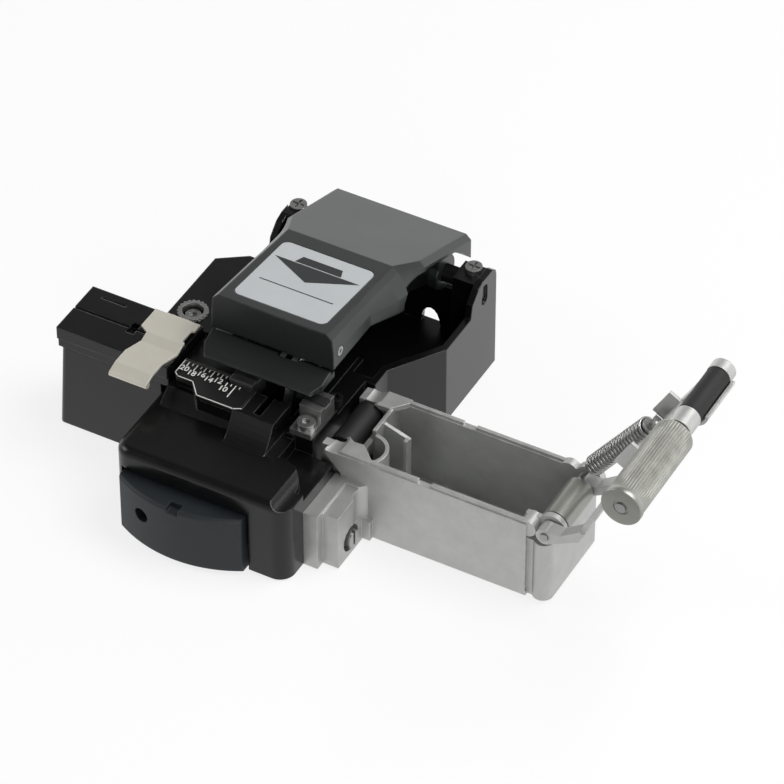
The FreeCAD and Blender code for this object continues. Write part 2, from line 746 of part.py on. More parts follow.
def leaf_clamp():
    """Stainless leaf: a knuckle on the pin, a joggle over the fibre and a rolled finger lip."""
    line = [(leaf_pin_y, leaf_high_z), (fibre_y - 0.8, leaf_high_z),
            (fibre_y - 3.0, leaf_low_z), (leaf_lip_y + 2.0, leaf_low_z),
            (leaf_lip_y, leaf_lip_z + 0.5)]
    leaf = sheet_x(line, leaf_t, leaf_x0, leaf_x1)
    lip = rod_x(leaf_x0, leaf_x1, leaf_lip_y, leaf_lip_z, 1.5)
    blank = fuse(leaf, lip).common(prism_z(leaf_plan(), leaf_lip_z - 2, leaf_high_z + 2))
    knuckle = rod_x(knuckle_x0, knuckle_x1, leaf_pin_y, leaf_pin_z, leaf_pin_d + 1.2)
    strap = block(knuckle_x0, knuckle_x1, leaf_pin_y - 0.25, leaf_pin_y + 0.35, leaf_pin_z,
                  leaf_high_z)
    body = fuse(blank, knuckle, strap)
    bore = rod_x(leaf_x0 - 1, leaf_x1 + 1, leaf_pin_y, leaf_pin_z, leaf_pin_d + 2 * running_fit)
    lip_bore = rod_x(leaf_x0 - 1, leaf_x1 + 1, leaf_lip_y, leaf_lip_z, 0.7)
    return cut(body, bore, lip_bore)


def adjust_screw():
    tip = V(adjust_x, adjust_y, upper_deck_z - 13)
    return socket_screw(tip, V(0, 0, 1), 1.96, 11.2, 3.4, 1.0, 1.6)


def coil(radius, pitch, turns, wire):
    """An open coil spring along +Z from the origin."""
    helix = Part.makeHelix(pitch, pitch * turns, radius)
    start = V(radius, 0, 0)
    profile = Part.Wire([Part.makeCircle(wire / 2, start, V(0, 1, pitch / (2 * math.pi * radius)))])
    return Part.Wire(helix.Edges).makePipeShell([profile], True, False)


def adjust_ring():
    """Toothed ring around the adjusting screw, seated in the deck."""
    top = upper_deck_z + 0.35
    ring = cut(rod_z(upper_deck_z - adjust_ring_h, top, adjust_x, adjust_y, adjust_ring_d),
               rod_z(upper_deck_z - 2 * adjust_ring_h, top + 1, adjust_x, adjust_y,
                     adjust_bore_d))
    gaps = []
    for index in range(adjust_ring_teeth):
        angle = 2 * math.pi * index / adjust_ring_teeth
        reach = adjust_ring_d / 2
        gaps.append(rod_z(upper_deck_z + 0.02, top + 1, adjust_x + reach * math.cos(angle),
                          adjust_y + reach * math.sin(angle), 0.6))
    return cut(ring, *gaps)


deck_screw_x = right_bed_x1 - 2.3
deck_screw_y = bed_y1 + 4.6


def deck_screw():
    tip = V(deck_screw_x, deck_screw_y, deck_z - 4)
    return socket_screw(tip, V(0, 0, 1), 1.6, 4.0, 3.0, 0.9, 1.3)


# ---------------------------------------------------------------- blade carriage
def rail_screw_places():
    middle = (rail_front_y + rail_rear_y) / 2
    return [rail_front_y + 4, middle, rail_rear_y - 4]


def slide_rail():
    """Profiled guide rail under the roof of the channel."""
    rail = block(rail_x0, rail_x1, rail_front_y, rail_rear_y, rail_z0, cavity_top_z)
    side = rail_height / 2
    for x, inward in ((rail_x0, 1), (rail_x1, -1)):
        groove = prism_y([(x - inward, rail_z0 + side + 0.7), (x - inward, rail_z0 + side - 0.7),
                          (x + inward * 0.5, rail_z0 + side - 0.3),
                          (x + inward * 0.5, rail_z0 + side + 0.3)],
                         rail_front_y - 1, rail_rear_y + 1)
        rail = cut(rail, groove)
    holes = []
    for y in rail_screw_places():
        holes.append(rod_z(rail_z0 - 1, cavity_top_z + 1, rail_x, y, 1.6 + 2 * screw_fit))
        holes.append(rod_z(rail_z0 - 1, rail_z0 + 1.3, rail_x, y, 3.0))
    return cut(rail, *holes)


def rail_screws():
    screws = []
    for y in rail_screw_places():
        tip = V(rail_x, y, cavity_top_z + 2.4)
        length = tip.z - (rail_z0 + 1.3)
        screws.append(socket_screw(tip, V(0, 0, -1), 1.6, length, 2.8, 1.1, 1.2))
    return Part.makeCompound(screws)


def linear_block():
    """The bearing block that hugs the rail."""
    gap = running_fit
    x0 = rail_x - block_width / 2
    x1 = rail_x + block_width / 2
    y1 = carriage_rear_y - 0.5
    body = block(x0, x1, y1 - block_length, y1, carriage_top_z, cavity_top_z - 0.5)
    channel = block(rail_x0 - gap, rail_x1 + gap, y1 - block_length - 1, y1 + 1, rail_z0 - gap,
                    cavity_top_z + 1)
    body = cut(body, channel)
    mid = rail_z0 + rail_height / 2
    for x, inward in ((rail_x0 - gap, 1), (rail_x1 + gap, -1)):
        tongue = prism_y([(x - inward * 0.2, mid + 0.5), (x - inward * 0.2, mid - 0.5),
                          (x + inward * 0.42, mid - 0.2), (x + inward * 0.42, mid + 0.2)],
                         y1 - block_length, y1)
        body = fuse(body, tongue)
    return body


def slider_carriage():
    """The carriage under the bearing block, with an arm forward to the knob."""
    y1 = carriage_rear_y
    y0 = y1 - block_length - 1
    body = block(recess_x0 + 2.0, blade_slot_x1 - 0.4, y0, y1, carriage_bottom_z, carriage_top_z)
    arm = block(recess_x0 + 5.0, recess_x1 - 5.0, carriage_front_y, y0, carriage_bottom_z,
                carriage_top_z - 1)
    well = block(blade_slot_x0 + 0.6, blade_slot_x1, y0 - 1, y1 + 1, blade_z - blade_d / 2 - 0.8,
                 carriage_top_z + 1)
    lighten = block(recess_x0 + 5.0, blade_slot_x0 - 3.0, y0 + 4, y1 - 4, carriage_bottom_z - 1,
                    carriage_bottom_z + 4)
    return cut(fuse(body, arm), well, lighten, knob_screw_bore())


def knob_screw_bore():
    return rod_y(carriage_front_y - 1, carriage_front_y + 7.0, knob_screw_x, knob_screw_z, 2.0)


knob_screw_x = recess_x0 + 7.3
knob_screw_z = 9.3


def slider_knob():
    """Moulded push knob with a bowed front face."""
    mid_x = (knob_x0 + knob_x1) / 2
    mid_y = knob_end_y - knob_bulge
    face = Part.Arc(V(knob_x0, knob_end_y, knob_bottom_z), V(mid_x, mid_y, knob_bottom_z),
                    V(knob_x1, knob_end_y, knob_bottom_z)).toShape()
    corners = [V(knob_x1, knob_end_y, knob_bottom_z), V(knob_x1, knob_back_y, knob_bottom_z),
               V(knob_x0, knob_back_y, knob_bottom_z), V(knob_x0, knob_end_y, knob_bottom_z)]
    outline = Part.Wire([face] + Part.makePolygon(corners).Edges)
    body = Part.Face(outline).extrude(V(0, 0, knob_top_z - knob_bottom_z))
    soft = [e for e in body.Edges if e.BoundBox.YMax < knob_end_y + 0.01]
    body = body.makeFillet(0.8, soft)
    recess = rod_y(mid_y - 1, knob_back_y - 2.0, knob_screw_x, knob_screw_z, knob_hole_d)
    through = rod_y(mid_y - 1, knob_back_y + 1, knob_screw_x, knob_screw_z, 2.0 + 2 * screw_fit)
    notch = block(mid_x - 1.0, mid_x + 1.6, mid_y - 1, knob_end_y - 1.4, knob_top_z - 1.2,
                  knob_top_z + 1)
    return cut(body, recess, through, notch)


def knob_screw():
    tip = V(knob_screw_x, carriage_front_y + 6.8, knob_screw_z)
    length = tip.y - (knob_back_y - 2.0)
    return socket_screw(tip, V(0, -1, 0), 1.98, length, 3.2, 1.6, 1.5)


bracket_x0 = blade_x + blade_t / 2 + 0.5
bracket_x1 = blade_slot_x1 - 0.45


def blade_bracket():
    """The upright plate that carries the blade's axle."""
    half = 4.0
    outline = [(blade_rest_y - half - 2, blade_z - blade_d / 2 - 0.8),
               (blade_rest_y - half, blade_z + 1.0), (blade_rest_y - 2.0, blade_z + 3.4),
               (blade_rest_y + 2.0, blade_z + 3.4), (blade_rest_y + half, blade_z + 1.0),
               (blade_rest_y + half + 2, blade_z - blade_d / 2 - 0.8)]
    plate = prism_x(outline, bracket_x0, bracket_x1)
    return cut(plate, rod_x(bracket_x0 - 1, bracket_x1 + 1, blade_rest_y, blade_z, blade_bore))


def blade_axle():
    """Stepped axle, pressed into the bracket, with a head that keeps the hub on."""
    hub_left = blade_x - blade_t / 2 - blade_hub_w
    pin = rod_x(hub_left - 0.35, bracket_x1, blade_rest_y, blade_z, blade_bore)
    head = rod_x(hub_left - 0.35 - 0.5, hub_left - 0.35, blade_rest_y, blade_z, 4.2)
    return fuse(pin, head)


def blade_wheel():
    """Carbide wheel with a bevelled edge."""
    r = blade_d / 2
    half = blade_t / 2
    bore = blade_bore / 2 + running_fit
    outline = [V(blade_x - half, 0, bore), V(blade_x - half, 0, r - 1.0), V(blade_x, 0, r),
               V(blade_x + half, 0, r - 1.0), V(blade_x + half, 0, bore)]
    face = Part.Face(Part.makePolygon(outline + [outline[0]]))
    wheel = face.revolve(V(0, 0, 0), V(1, 0, 0), 360)
    wheel.translate(V(0, blade_rest_y, blade_z))
    return wheel


def blade_hub():
    x1 = blade_x - blade_t / 2
    hub = rod_x(x1 - blade_hub_w, x1, blade_rest_y, blade_z, blade_hub_d)
    for side in (-1, 1):
        hub = cut(hub, rod_x(x1 - blade_hub_w - 1, x1 - blade_hub_w + 0.7,
                             blade_rest_y + side * 2.05, blade_z, 0.7))
    return cut(hub, rod_x(x1 - 3, x1 + 1, blade_rest_y, blade_z, blade_bore + 2 * running_fit))


# ---------------------------------------------------------------- lever
hinge_screw_x = 21.3
left_screw_x = -20.9


def hinge_shaft():
    return rod_x(rear_left_x + 0.6, rear_half_width - 0.9, hinge_y, hinge_z, hinge_shaft_d)


def hinge_screws():
    screws = []
    for x in (left_screw_x, hinge_screw_x):
        seat_z = hinge_seat_z
        tip_z = hinge_z + hinge_shaft_d / 2
        shank = rod_z(tip_z, seat_z, x, hinge_y, hinge_screw_d)
        head = rod_z(seat_z, seat_z + hinge_screw_head_h, x, hinge_y, hinge_screw_head_d)
        slot_a = block(x - 1.4, x + 1.4, hinge_y - 0.25, hinge_y + 0.25, seat_z + 0.6, seat_z + 3)
        slot_b = block(x - 0.25, x + 0.25, hinge_y - 1.4, hinge_y + 1.4, seat_z + 0.6, seat_z + 3)
        screws.append(cut(fuse(shank, head), slot_a, slot_b))
    return Part.makeCompound(screws)


def lever_section(y, top_half, bottom_half, top_z, bottom_z):
    """Cross section of the lever, with its upper edges broken by a bevel."""
    waist_z = (top_z + bottom_z) / 2 - 0.6
    right = [V(bottom_half, y, bottom_z), V(bottom_half, y, waist_z),
             V(top_half, y, top_z - lever_bevel), V(top_half - lever_bevel, y, top_z)]
    left = [V(-p.x, p.y, p.z) for p in reversed(right)]
    points = right + left
    return Part.makePolygon(points + [points[0]])


def lever_top_at(y):
    """Height of the lever's upper surface over a point on its length."""
    if y < lever_ridge_y:
        share = (y - lever_front_y) / (lever_ridge_y - lever_front_y)
        return lever_front_top_z + share * (lever_ridge_z - lever_front_top_z)
    share = (y - lever_ridge_y) / (lever_rear_y - lever_ridge_y)
    return lever_ridge_z + share * (lever_rear_top_z - lever_ridge_z)


def lever_bottom_at(y):
    share = max(0.0, (y - 6.0) / (lever_rear_y - 6.0))
    return lever_front_bottom_z + share * (lever_rear_bottom_z - lever_front_bottom_z)


def lever_solid(inset):
    """The lever's outer form, or the same form set in by a wall."""
    stations = [(lever_front_y + inset, lever_front_half_width, lever_front_half_width + 0.3),
                (6.0, lever_ridge_half_width + 0.2, lever_front_half_width + 0.3),
                (lever_ridge_y - 4.4, lever_ridge_half_width, lever_flare_half_width - 0.4),
                (lever_ridge_y, lever_ridge_half_width, lever_flare_half_width),
                (lever_flare_y, lever_rear_half_width - 0.4, lever_flare_half_width + 0.2),
                (lever_rear_y - inset, lever_rear_half_width, lever_rear_half_width)]
    wires = []
    drop = 4.0 if inset else 0.0
    for y, top_half, bottom_half in stations:
        wires.append(lever_section(y, top_half - inset, bottom_half - inset,
                                   lever_top_at(y) - inset, lever_bottom_at(y) - drop))
    return Part.makeLoft(wires, True, True)


def skirt_opening():
    """The sides behind the ridge are cut away up to a thin roof."""
    outline = [(lever_ridge_y - 2.6, hinge_z - 6), (lever_ridge_y - 2.6, hinge_z + 4.4)]
    outline += [(lever_ridge_y - 2.1, lever_ridge_z - 7.0), (lever_ridge_y - 0.4, lever_ridge_z - 4.2),
                (lever_ridge_y + 3.9, lever_top_at(lever_ridge_y + 3.9) - 3.0)]
    for y in (hinge_y - 10.8, hinge_y - 6.5, hinge_y - 3.4, hinge_y + 0.2):
        outline.append((y, lever_top_at(y) - 2.0))
    outline += [(hinge_y + 3.8, hinge_z + 3.2), (lever_rear_y - 0.4, hinge_z - 0.3),
                (lever_rear_y + 1, hinge_z - 1.4), (lever_rear_y + 1, hinge_z - 6)]
    return prism_x(outline, -lever_rear_half_width - 1, lever_rear_half_width + 1)


def lever_cover():
    shell = cut(lever_solid(0.0), lever_solid(lever_wall), skirt_opening())
    boss = []
    for side in (-1, 1):
        x0, x1 = sorted((side * (frame_outer + 0.02), side * (lever_rear_half_width - 2.1)))
        ear = rod_x(x0, x1, hinge_y, hinge_z, hinge_shaft_d + 4.0)
        web = block(x0, x1, hinge_y - 3.0, hinge_y + 3.0, hinge_z,
                    lever_top_at(hinge_y + 3.0) - 0.2)
        boss.append(fuse(ear, web))
    shell = fuse(shell, *boss)
    bore = rod_x(-30, 30, hinge_y, hinge_z, hinge_shaft_d + 2 * running_fit)
    seat = label_seat(label_t)
    return cut(shell, bore, seat, *lever_screw_holes())


lever_bevel = 1.2
frame_outer = 12.3
frame_t = 1.6
arm_x0 = 7.4
arm_x1 = 10.2
slope_angle = math.degrees(math.atan2(lever_front_top_z - lever_ridge_z,
                                      lever_ridge_y - lever_front_y))


def label_seat(depth, margin=0.0):
    """A block lying on the lever's front slope, sunk into it by the depth."""
    mid_y = (lever_front_y + lever_ridge_y) / 2 - 0.7
    half_l = label_length / 2 - margin
    half_w = label_width / 2 - margin
    height = 3.0 if not margin else depth
    plate = Part.makeBox(2 * half_w, 2 * half_l, height, V(-half_w, -half_l, -depth))
    upright = [e for e in plate.Edges if e.BoundBox.ZLength > 0.1]
    plate = plate.makeFillet(1.6, upright)
    plate.rotate(V(0, 0, 0), V(1, 0, 0), -slope_angle)
    plate.translate(V(0, mid_y, lever_top_at(mid_y)))
    return plate


def label_plate():
    return label_seat(label_t, 0.03)


def lever_screw_holes():
    """Blind screws through the lever's sides into the frame."""
    holes = []
    for side in (-1, 1):
        x0, x1 = sorted((side * (frame_outer - 1.0), side * (lever_front_half_width + 2)))
        holes.append(rod_x(x0, x1, lever_screw_y, lever_screw_z, 1.6))
        x0, x1 = sorted((side * lever_screw_seat_x, side * (lever_front_half_width + 2)))
        holes.append(rod_x(x0, x1, lever_screw_y, lever_screw_z, 2.3))
    return holes


lever_screw_seat_x = lever_front_half_width - 0.2
lever_screw_y = lever_front_y + 3.0
lever_screw_z = lever_front_bottom_z + 3.0


def lever_screws():
    screws = []
    for side in (-1, 1):
        tip = V(side * (frame_outer - frame_t + 0.2), lever_screw_y, lever_screw_z)
        length = lever_screw_seat_x - (frame_outer - frame_t + 0.2)
        screws.append(socket_screw(tip, V(side, 0, 0), 1.58, length, 2.2, 0.5, 0.9))
    return Part.makeCompound(screws)


cross_front_z = lever_front_top_z - 4.8
cross_rear_y = lever_ridge_y - 8
cross_rear_z = lever_ridge_z - 3.4


def cross_under_at(y):
    """Height of the underside of the lever frame's cross plate."""
    share = (y - lever_front_y) / (cross_rear_y - lever_front_y)
    return cross_front_z + share * (cross_rear_z - cross_front_z) - frame_t / 2 - 0.05


def lever_frame():
    """Folded steel frame inside the cover: two cheeks and a cross plate."""
    front = lever_front_y + lever_wall + 0.3
    outline = [(front, lever_front_bottom_z + 0.6), (front, lever_front_top_z - 4.0),
               (lever_ridge_y - 2, lever_ridge_z - 4.5), (hinge_y + 3.2, hinge_z + 4.0),
               (hinge_y + 3.2, hinge_z - 1.5), (hinge_y, hinge_z - 3.4),
               (hinge_y - 4.5, hinge_z - 1.0), (lever_ridge_y - 6, lever_front_bottom_z - 0.5)]
    cheeks = []
    for side in (-1, 1):
        x0, x1 = sorted((side * (frame_outer - frame_t), side * frame_outer))
        cheeks.append(prism_x(outline, x0, x1))
    cross_line = [(front, cross_front_z), (cross_rear_y, cross_rear_z)]
    cross = sheet_x(cross_line, frame_t, -frame_outer + 0.2, frame_outer - 0.2)
    frame = fuse(cheeks[0], cheeks[1], cross)
    holes = [rod_x(-30, 30, hinge_y, hinge_z, hinge_shaft_d + 2 * running_fit)]
    for side in (-1, 1):
        x0, x1 = sorted((side * (frame_outer - frame_t - 1), side * (frame_outer + 1)))
        holes.append(rod_x(x0, x1, lever_screw_y, lever_screw_z, 1.6))
    return cut(frame, *holes)


anvil_x0 = blade_x - 1.9
anvil_x1 = blade_x + 1.9
anvil_slot = blade_t + 0.8
anvil_root_y = lever_front_y + lever_wall + 0.4
anvil_tip_z = 29.35
anvil_clearance = 0.15
anvil_t = 0.4
arm_slope = (arm_plate_front_z - arm_plate_back_z) / (arm_front_y - lever_front_y)


def arm_top_at(y):
    """Height of the sloping front of the clamp arm."""
    return arm_plate_back_z + arm_slope * (y - lever_front_y)


def anvil():
    """The forked finger that bows the fibre over the blade, carried by the lever frame."""
    front = fibre_y - 1.0
    sink = arm_cover_t + anvil_clearance + anvil_t / 2
    line = [(front, arm_top_at(front) - sink), (anvil_root_y, arm_top_at(anvil_root_y) - sink)]
    strip = sheet_x(line, anvil_t, anvil_x0, anvil_x1)
    lip = block(anvil_x0, anvil_x1, front + 0.1, fibre_y + 0.5, anvil_tip_z,
                arm_top_at(front) - sink)
    stem = block(anvil_x0, anvil_x1, anvil_root_y - 0.4, anvil_root_y + 1.0,
                 arm_top_at(anvil_root_y) - sink - anvil_t / 2, cross_under_at(anvil_root_y + 1.0))
    slot = block(blade_x - anvil_slot / 2, blade_x + anvil_slot / 2, front - 1, anvil_root_y - 1.2,
                 anvil_tip_z - 1, arm_plate_back_z + 2)
    strip = strip.common(block(anvil_x0, anvil_x1, front, anvil_root_y + 1, anvil_tip_z,
                               lever_front_top_z))
    return cut(fuse(strip, lip, stem), slot)


def clamp_arm():
    """Upper clamp arm: two side arms on the hinge shaft and a bevelled front plate."""
    back = lever_front_y + 1.2
    brow = lever_front_y - press_gap
    plate_outline = [(arm_front_y, arm_front_z), (arm_front_y - 0.2, arm_front_z + 0.4),
                     (arm_front_y + 0.4, arm_top_at(arm_front_y + 0.4)),
                     (brow, arm_top_at(brow)), (brow, arm_side_top_z),
                     (back, arm_side_top_z), (back, arm_front_z)]
    plate = prism_x(plate_outline, -arm_half_width, arm_half_width)
    for side in (-1, 1):
        corner = [(side * arm_half_width, arm_front_y - 1),
                  (side * (arm_half_width - 2.0), arm_front_y - 1),
                  (side * (arm_half_width + 0.1), arm_front_y + 3.0)]
        plate = cut(plate, prism_z(corner, arm_front_z - 1, arm_plate_back_z + 1))
    cover = arm_cover_t
    relief_front = fibre_y - 1.6
    relief = prism_x([(relief_front, arm_front_z - 1), (relief_front, arm_top_at(relief_front) - cover),
                      (brow - cover, arm_top_at(brow - cover) - cover),
                      (brow - cover, arm_front_z - 1)], anvil_x0 - 0.4, anvil_x1 + 0.4)
    stem_room = block(anvil_x0 - 0.4, anvil_x1 + 0.4, brow - cover - 0.1, back + 1,
                      arm_front_z - 1, arm_plate_back_z + 1)
    side_outline = [(lever_front_y + 0.6, arm_front_z), (lever_front_y + 0.6, arm_side_top_z),
                    (lever_ridge_y - 4, arm_side_top_z), (hinge_y - 5.5, hinge_z + 3.6),
                    (hinge_y, hinge_z + 3.4), (hinge_y + 3.0, hinge_z + 1.0),
                    (hinge_y + 1.6, hinge_z - 3.0), (hinge_y - 3.0, hinge_z - 2.4),
                    (lever_ridge_y - 6, arm_front_z)]
    arms = []
    for side in (-1, 1):
        x0, x1 = sorted((side * arm_x0, side * arm_x1))
        arms.append(prism_x(side_outline, x0, x1))
        arms.append(rod_x(x0, x1, hinge_y, hinge_z, bush_d + 3.2))
    body = fuse(cut(plate, relief, stem_room), *arms)
    pad_pockets = [upper_pad(x0, x1, 0.0) for x0, x1 in upper_pad_spans()]
    bush_bore = rod_x(-30, 30, hinge_y, hinge_z, bush_d)
    return cut(body, bush_bore, *pad_pockets)


bush_d = hinge_shaft_d + 1.6


def clamp_arm_bushes():
    bushes = []
    for side in (-1, 1):
        x0, x1 = sorted((side * arm_x0, side * arm_x1))
        bush = rod_x(x0, x1, hinge_y, hinge_z, bush_d)
        bushes.append(cut(bush, rod_x(-30, 30, hinge_y, hinge_z,
                                      hinge_shaft_d + 2 * running_fit)))
    return Part.makeCompound(bushes)


def upper_pad_spans():
    return [(left_bed_x0 + 0.3, left_bed_x1 - 0.3), (right_bed_x0 + 0.3, arm_half_width - 0.6)]


def upper_pad(x0, x1, proud):
    return block(x0, x1, fibre_y - pad_depth / 2, fibre_y + pad_depth / 2, arm_front_z - proud,
                 arm_front_z + 0.7)


def upper_pads():
    return Part.makeCompound([upper_pad(x0, x1, pad_proud) for x0, x1 in upper_pad_spans()])


pad_proud = 0.15


def press_springs():
    """Springs between the clamp arm and the lever frame."""
    springs = []
    wire = 0.4
    pitch = 0.8
    y = 2.0
    height = cross_under_at(y) - arm_side_top_z - wire - 0.1
    for side in (-1, 1):
        spring = coil(1.2, pitch, height / pitch, wire)
        spring.translate(V(side * (arm_x0 + arm_x1) / 2, y, arm_side_top_z + wire / 2 + 0.03))
        springs.append(spring)
    return Part.makeCompound(springs)


# ---------------------------------------------------------------- scrap collector
collector_screw_y = -25.8
collector_screw_z = 4.6
collector_screw_tip_x = 14.0
flange_outer_x = casting_half_width + flange_t
boss_outer_x = flange_outer_x + 3.6
collector_screw_seat_x = flange_outer_x + 1.0
end_wall_top_z = lid_pin_z - 3.5
end_wall_x0 = box_x1 - 2.4
rim_end_x = 64.2


def long_wall(y0, y1):
    """A long wall whose raised rim is broken at mid length."""
    left = box_x0 + 3.6
    top = box_top_z - rim_rise
    outline = [(left, box_bottom_z), (rim_end_x, box_bottom_z), (rim_end_x, top),
               (box_x0, top), (box_x0, top - 1.0), (left, top - 5.0)]
    return prism_y(outline, y0, y1)


def rims():
    strips = []
    for y in (box_front_y + 0.3, box_rear_y - 1.1):
        strips.append(block(box_x0, rim_gap_x - rim_gap / 2, y, y + 0.8, box_top_z - rim_rise - 0.2,
                            box_top_z))
        strips.append(block(rim_gap_x + rim_gap / 2, rim_end_x, y, y + 0.8,
                            box_top_z - rim_rise - 0.2, box_top_z))
    return strips


def bearing_web(y0, y1):
    """A web that carries one end of the lower roller's shaft."""
    x0 = roller_x - 2.8
    return block(x0, partition_x + 0.8, y0, y1, lower_roller_z - 7.5, box_top_z - 1.0)


def front_lug():
    """Hooked plate on the front wall's left end."""
    arc = [(box_x0 + 0.6, -16.4), (box_x0 + 1.3, -15.2), (box_x0 + 2.6, -14.8),
           (box_x0 + 3.6, -15.6), (box_x0 + 4.6, -16.2), (box_x0 + 6.8, -16.0),
           (box_x0 + 8.4, -17.4), (box_x0 + 10.0, box_front_y + box_wall)]
    outline = [(box_x0, box_front_y + 0.2)] + arc + [(box_x0 + 10.0, box_front_y + 0.2)]
    return prism_z(outline, box_top_z - 1.2, box_top_z)


def rear_lug():
    outline = [(box_x0, box_rear_y), (box_x0, box_rear_y - 4.9),
               (box_x0 + 6.2, box_rear_y - 4.5), (box_x0 + 9.0, box_rear_y - 1.2),
               (box_x0 + 9.0, box_rear_y)]
    return prism_z(outline, box_top_z - 1.2, box_top_z)


def partition():
    """Wall between the rollers and the bin, a guide panel with its rib and a round screw well."""
    wall = block(partition_x, partition_x + 0.8, -10.8, box_rear_y - box_wall + 0.1, box_bottom_z,
                 box_top_z - 0.5)
    chute = prism_y([(partition_x + 0.7, box_bottom_z), (partition_x + 6.7, box_bottom_z),
                     (partition_x + 6.7, 18.2), (partition_x + 0.7, 20.2)], -7.4, -6.6)
    rib = block(partition_x + 5.9, partition_x + 6.7, -8.6, -7.3, box_bottom_z, 18.6)
    cx = partition_x + 1.3
    cy = -16.1
    ring = cut(rod_z(box_bottom_z, box_top_z - 0.6, cx, cy, 9.6),
               rod_z(box_bottom_z + 2.0, box_top_z, cx, cy, 8.0),
               block(cx - 6, cx, cy - 6, cy + 6, box_bottom_z - 1, box_top_z),
               block(cx - 6, cx + 6, cy - 6, box_front_y + 0.4, box_bottom_z - 1, box_top_z))
    return [wall, chute, rib, ring]


def mount_flange():
    """Stepped foot that is screwed to the casting's side."""
    low = block(casting_half_width, flange_outer_x, flange_front_y, box_front_y + 0.6,
                box_bottom_z - 0.6, flange_top_z)
    boss = block(casting_half_width + 0.6, boss_outer_x, flange_front_y + 2.2, box_front_y + 0.6,
                 box_bottom_z - 0.6, flange_top_z - 0.6)
    joint = block(casting_half_width + 1.6, boss_outer_x + 2, box_front_y - 1.2,
                  box_front_y + box_wall, box_bottom_z, flange_top_z)
    relief = rod_z(box_bottom_z + 5.0, flange_top_z + 4, boss_outer_x + 1.6, box_front_y - 2.4, 5.0)
    return cut(fuse(low, boss, joint), relief)


def hinge_column():
    """The rounded pilaster at the front of the hinge end, and the end wall behind it."""
    wall = block(end_wall_x0, box_x1, box_front_y + 2.4, box_rear_y, box_bottom_z, end_wall_top_z)
    column = rod_z(box_bottom_z, end_wall_top_z, box_x1 - 2.3, box_front_y + 2.4, 4.6)
    front = block(rim_end_x - 1, box_x1 - 2.3, box_front_y + 0.9, box_front_y + 2.4, box_bottom_z,
                  end_wall_top_z)
    rear = block(rim_end_x - 1, box_x1, box_rear_y - box_wall, box_rear_y, box_bottom_z,
                 end_wall_top_z)
    return [wall, column, front, rear]


def spring_curl():
    """Open curl on the rear wall beside the rear ear."""
    y0, y1 = ear_rear
    ring = rod_y(y0, y1, curl_x, curl_z, 4.0)
    return cut(ring, rod_y(y0 - 1, y1 + 1, curl_x, curl_z, 2.0))


curl_x = 64.0
curl_z = 19.9


def hinge_ear(y0, y1):
    """A rounded ear that holds the lid's pin."""
    ear = rod_y(y0, y1, lid_pin_x, lid_pin_z, 6.0)
    stem = block(end_wall_x0, box_x1, y0, y1, end_wall_top_z - 1, lid_pin_z)
    neck = block(rim_end_x - 1.5, lid_pin_x, y0, y1, lid_pin_z - 1.6, box_top_z - 0.2)
    return fuse(ear, stem, neck)


def front_lobe():
    """Rounded shoulder that joins the front wall's end to the front ear."""
    return rod_y(box_front_y + 0.3, ear_front[1], rim_end_x, lid_pin_z - 0.4, 4.0)


ear_front = (-17.6, -16.4)
ear_rear = (-1.4, 0.4)
knuckle_front = (-20.9, -17.9)
knuckle_rear = (-5.0, -1.7)
tube_span = (-16.2, -5.2)


def collector_box():
    floor = block(box_x0 + 3.6, box_x1, box_front_y, box_rear_y, box_bottom_z, box_bottom_z + 1.2)
    corner_room = block(rim_end_x + 0.2, box_x1 + 1, box_front_y - 1, box_front_y + 2.4,
                        box_bottom_z - 1, box_top_z)
    floor = cut(floor, corner_room)
    parts = [floor, long_wall(box_front_y, box_front_y + box_wall),
             long_wall(box_rear_y - box_wall, box_rear_y)]
    parts.append(block(box_x0 + 3.6, box_x0 + 5.2, box_front_y, box_rear_y, box_bottom_z,
                       lower_roller_z - 4.4))
    parts += rims() + partition() + hinge_column()
    parts += [front_lug(), rear_lug(), mount_flange()]
    parts += [bearing_web(-18.6, -16.6), bearing_web(-3.0, box_rear_y)]
    parts += [hinge_ear(*ear_front), hinge_ear(*ear_rear), spring_curl(), front_lobe()]
    body = fuse(*parts)
    well = rod_y(-16.5, -3.1, roller_x, lower_roller_z, lower_roller_d + 1.2)
    collar_scoop = rod_y(box_front_y - 1, arm_spans[0][1] + 0.2, roller_x, upper_roller_z,
                         2 * collar_scoop_r)
    roller_scoop = rod_y(-18.0, -2.0, roller_x, upper_roller_z, upper_roller_d + 0.5)
    rear_scoop = rod_y(arm_spans[1][0] - 0.2, box_rear_y + 1, roller_x, upper_roller_z,
                       2 * collar_scoop_r)
    shaft_bore = rod_y(-18.0, -0.8, roller_x, lower_roller_z, roller_shaft_d + 2 * running_fit)
    pin_bore = rod_y(-22, box_rear_y + 1, lid_pin_x, lid_pin_z, lid_pin_d)
    screw_bore = rod_x(casting_half_width - 1, boss_outer_x + 6, collector_screw_y,
                       collector_screw_z, 2.5 + 2 * screw_fit)
    screw_gap = rod_x(collector_screw_seat_x, boss_outer_x + 6, collector_screw_y,
                      collector_screw_z, 6.0)
    return cut(body, well, collar_scoop, roller_scoop, rear_scoop, shaft_bore, pin_bore,
               screw_bore, screw_gap)


def collector_screw():
    tip = V(collector_screw_tip_x + 0.2, collector_screw_y, collector_screw_z)
    seat = collector_screw_seat_x
    shank = rod_x(tip.x, seat, tip.y, tip.z, 2.46)
    washer = rod_x(seat, seat + 0.6, tip.y, tip.z, 5.0)
    head = rod_x(seat + 0.6, seat + 3.4, tip.y, tip.z, 4.0)
    slot = block(seat + 2.6, seat + 4, tip.y - 0.4, tip.y + 0.4, tip.z - 3, tip.z + 3)
    return cut(fuse(shank, washer, head), slot)


def lid_hinge_pin():
    return rod_y(-21.3, ear_rear[1], lid_pin_x, lid_pin_z, lid_pin_d)


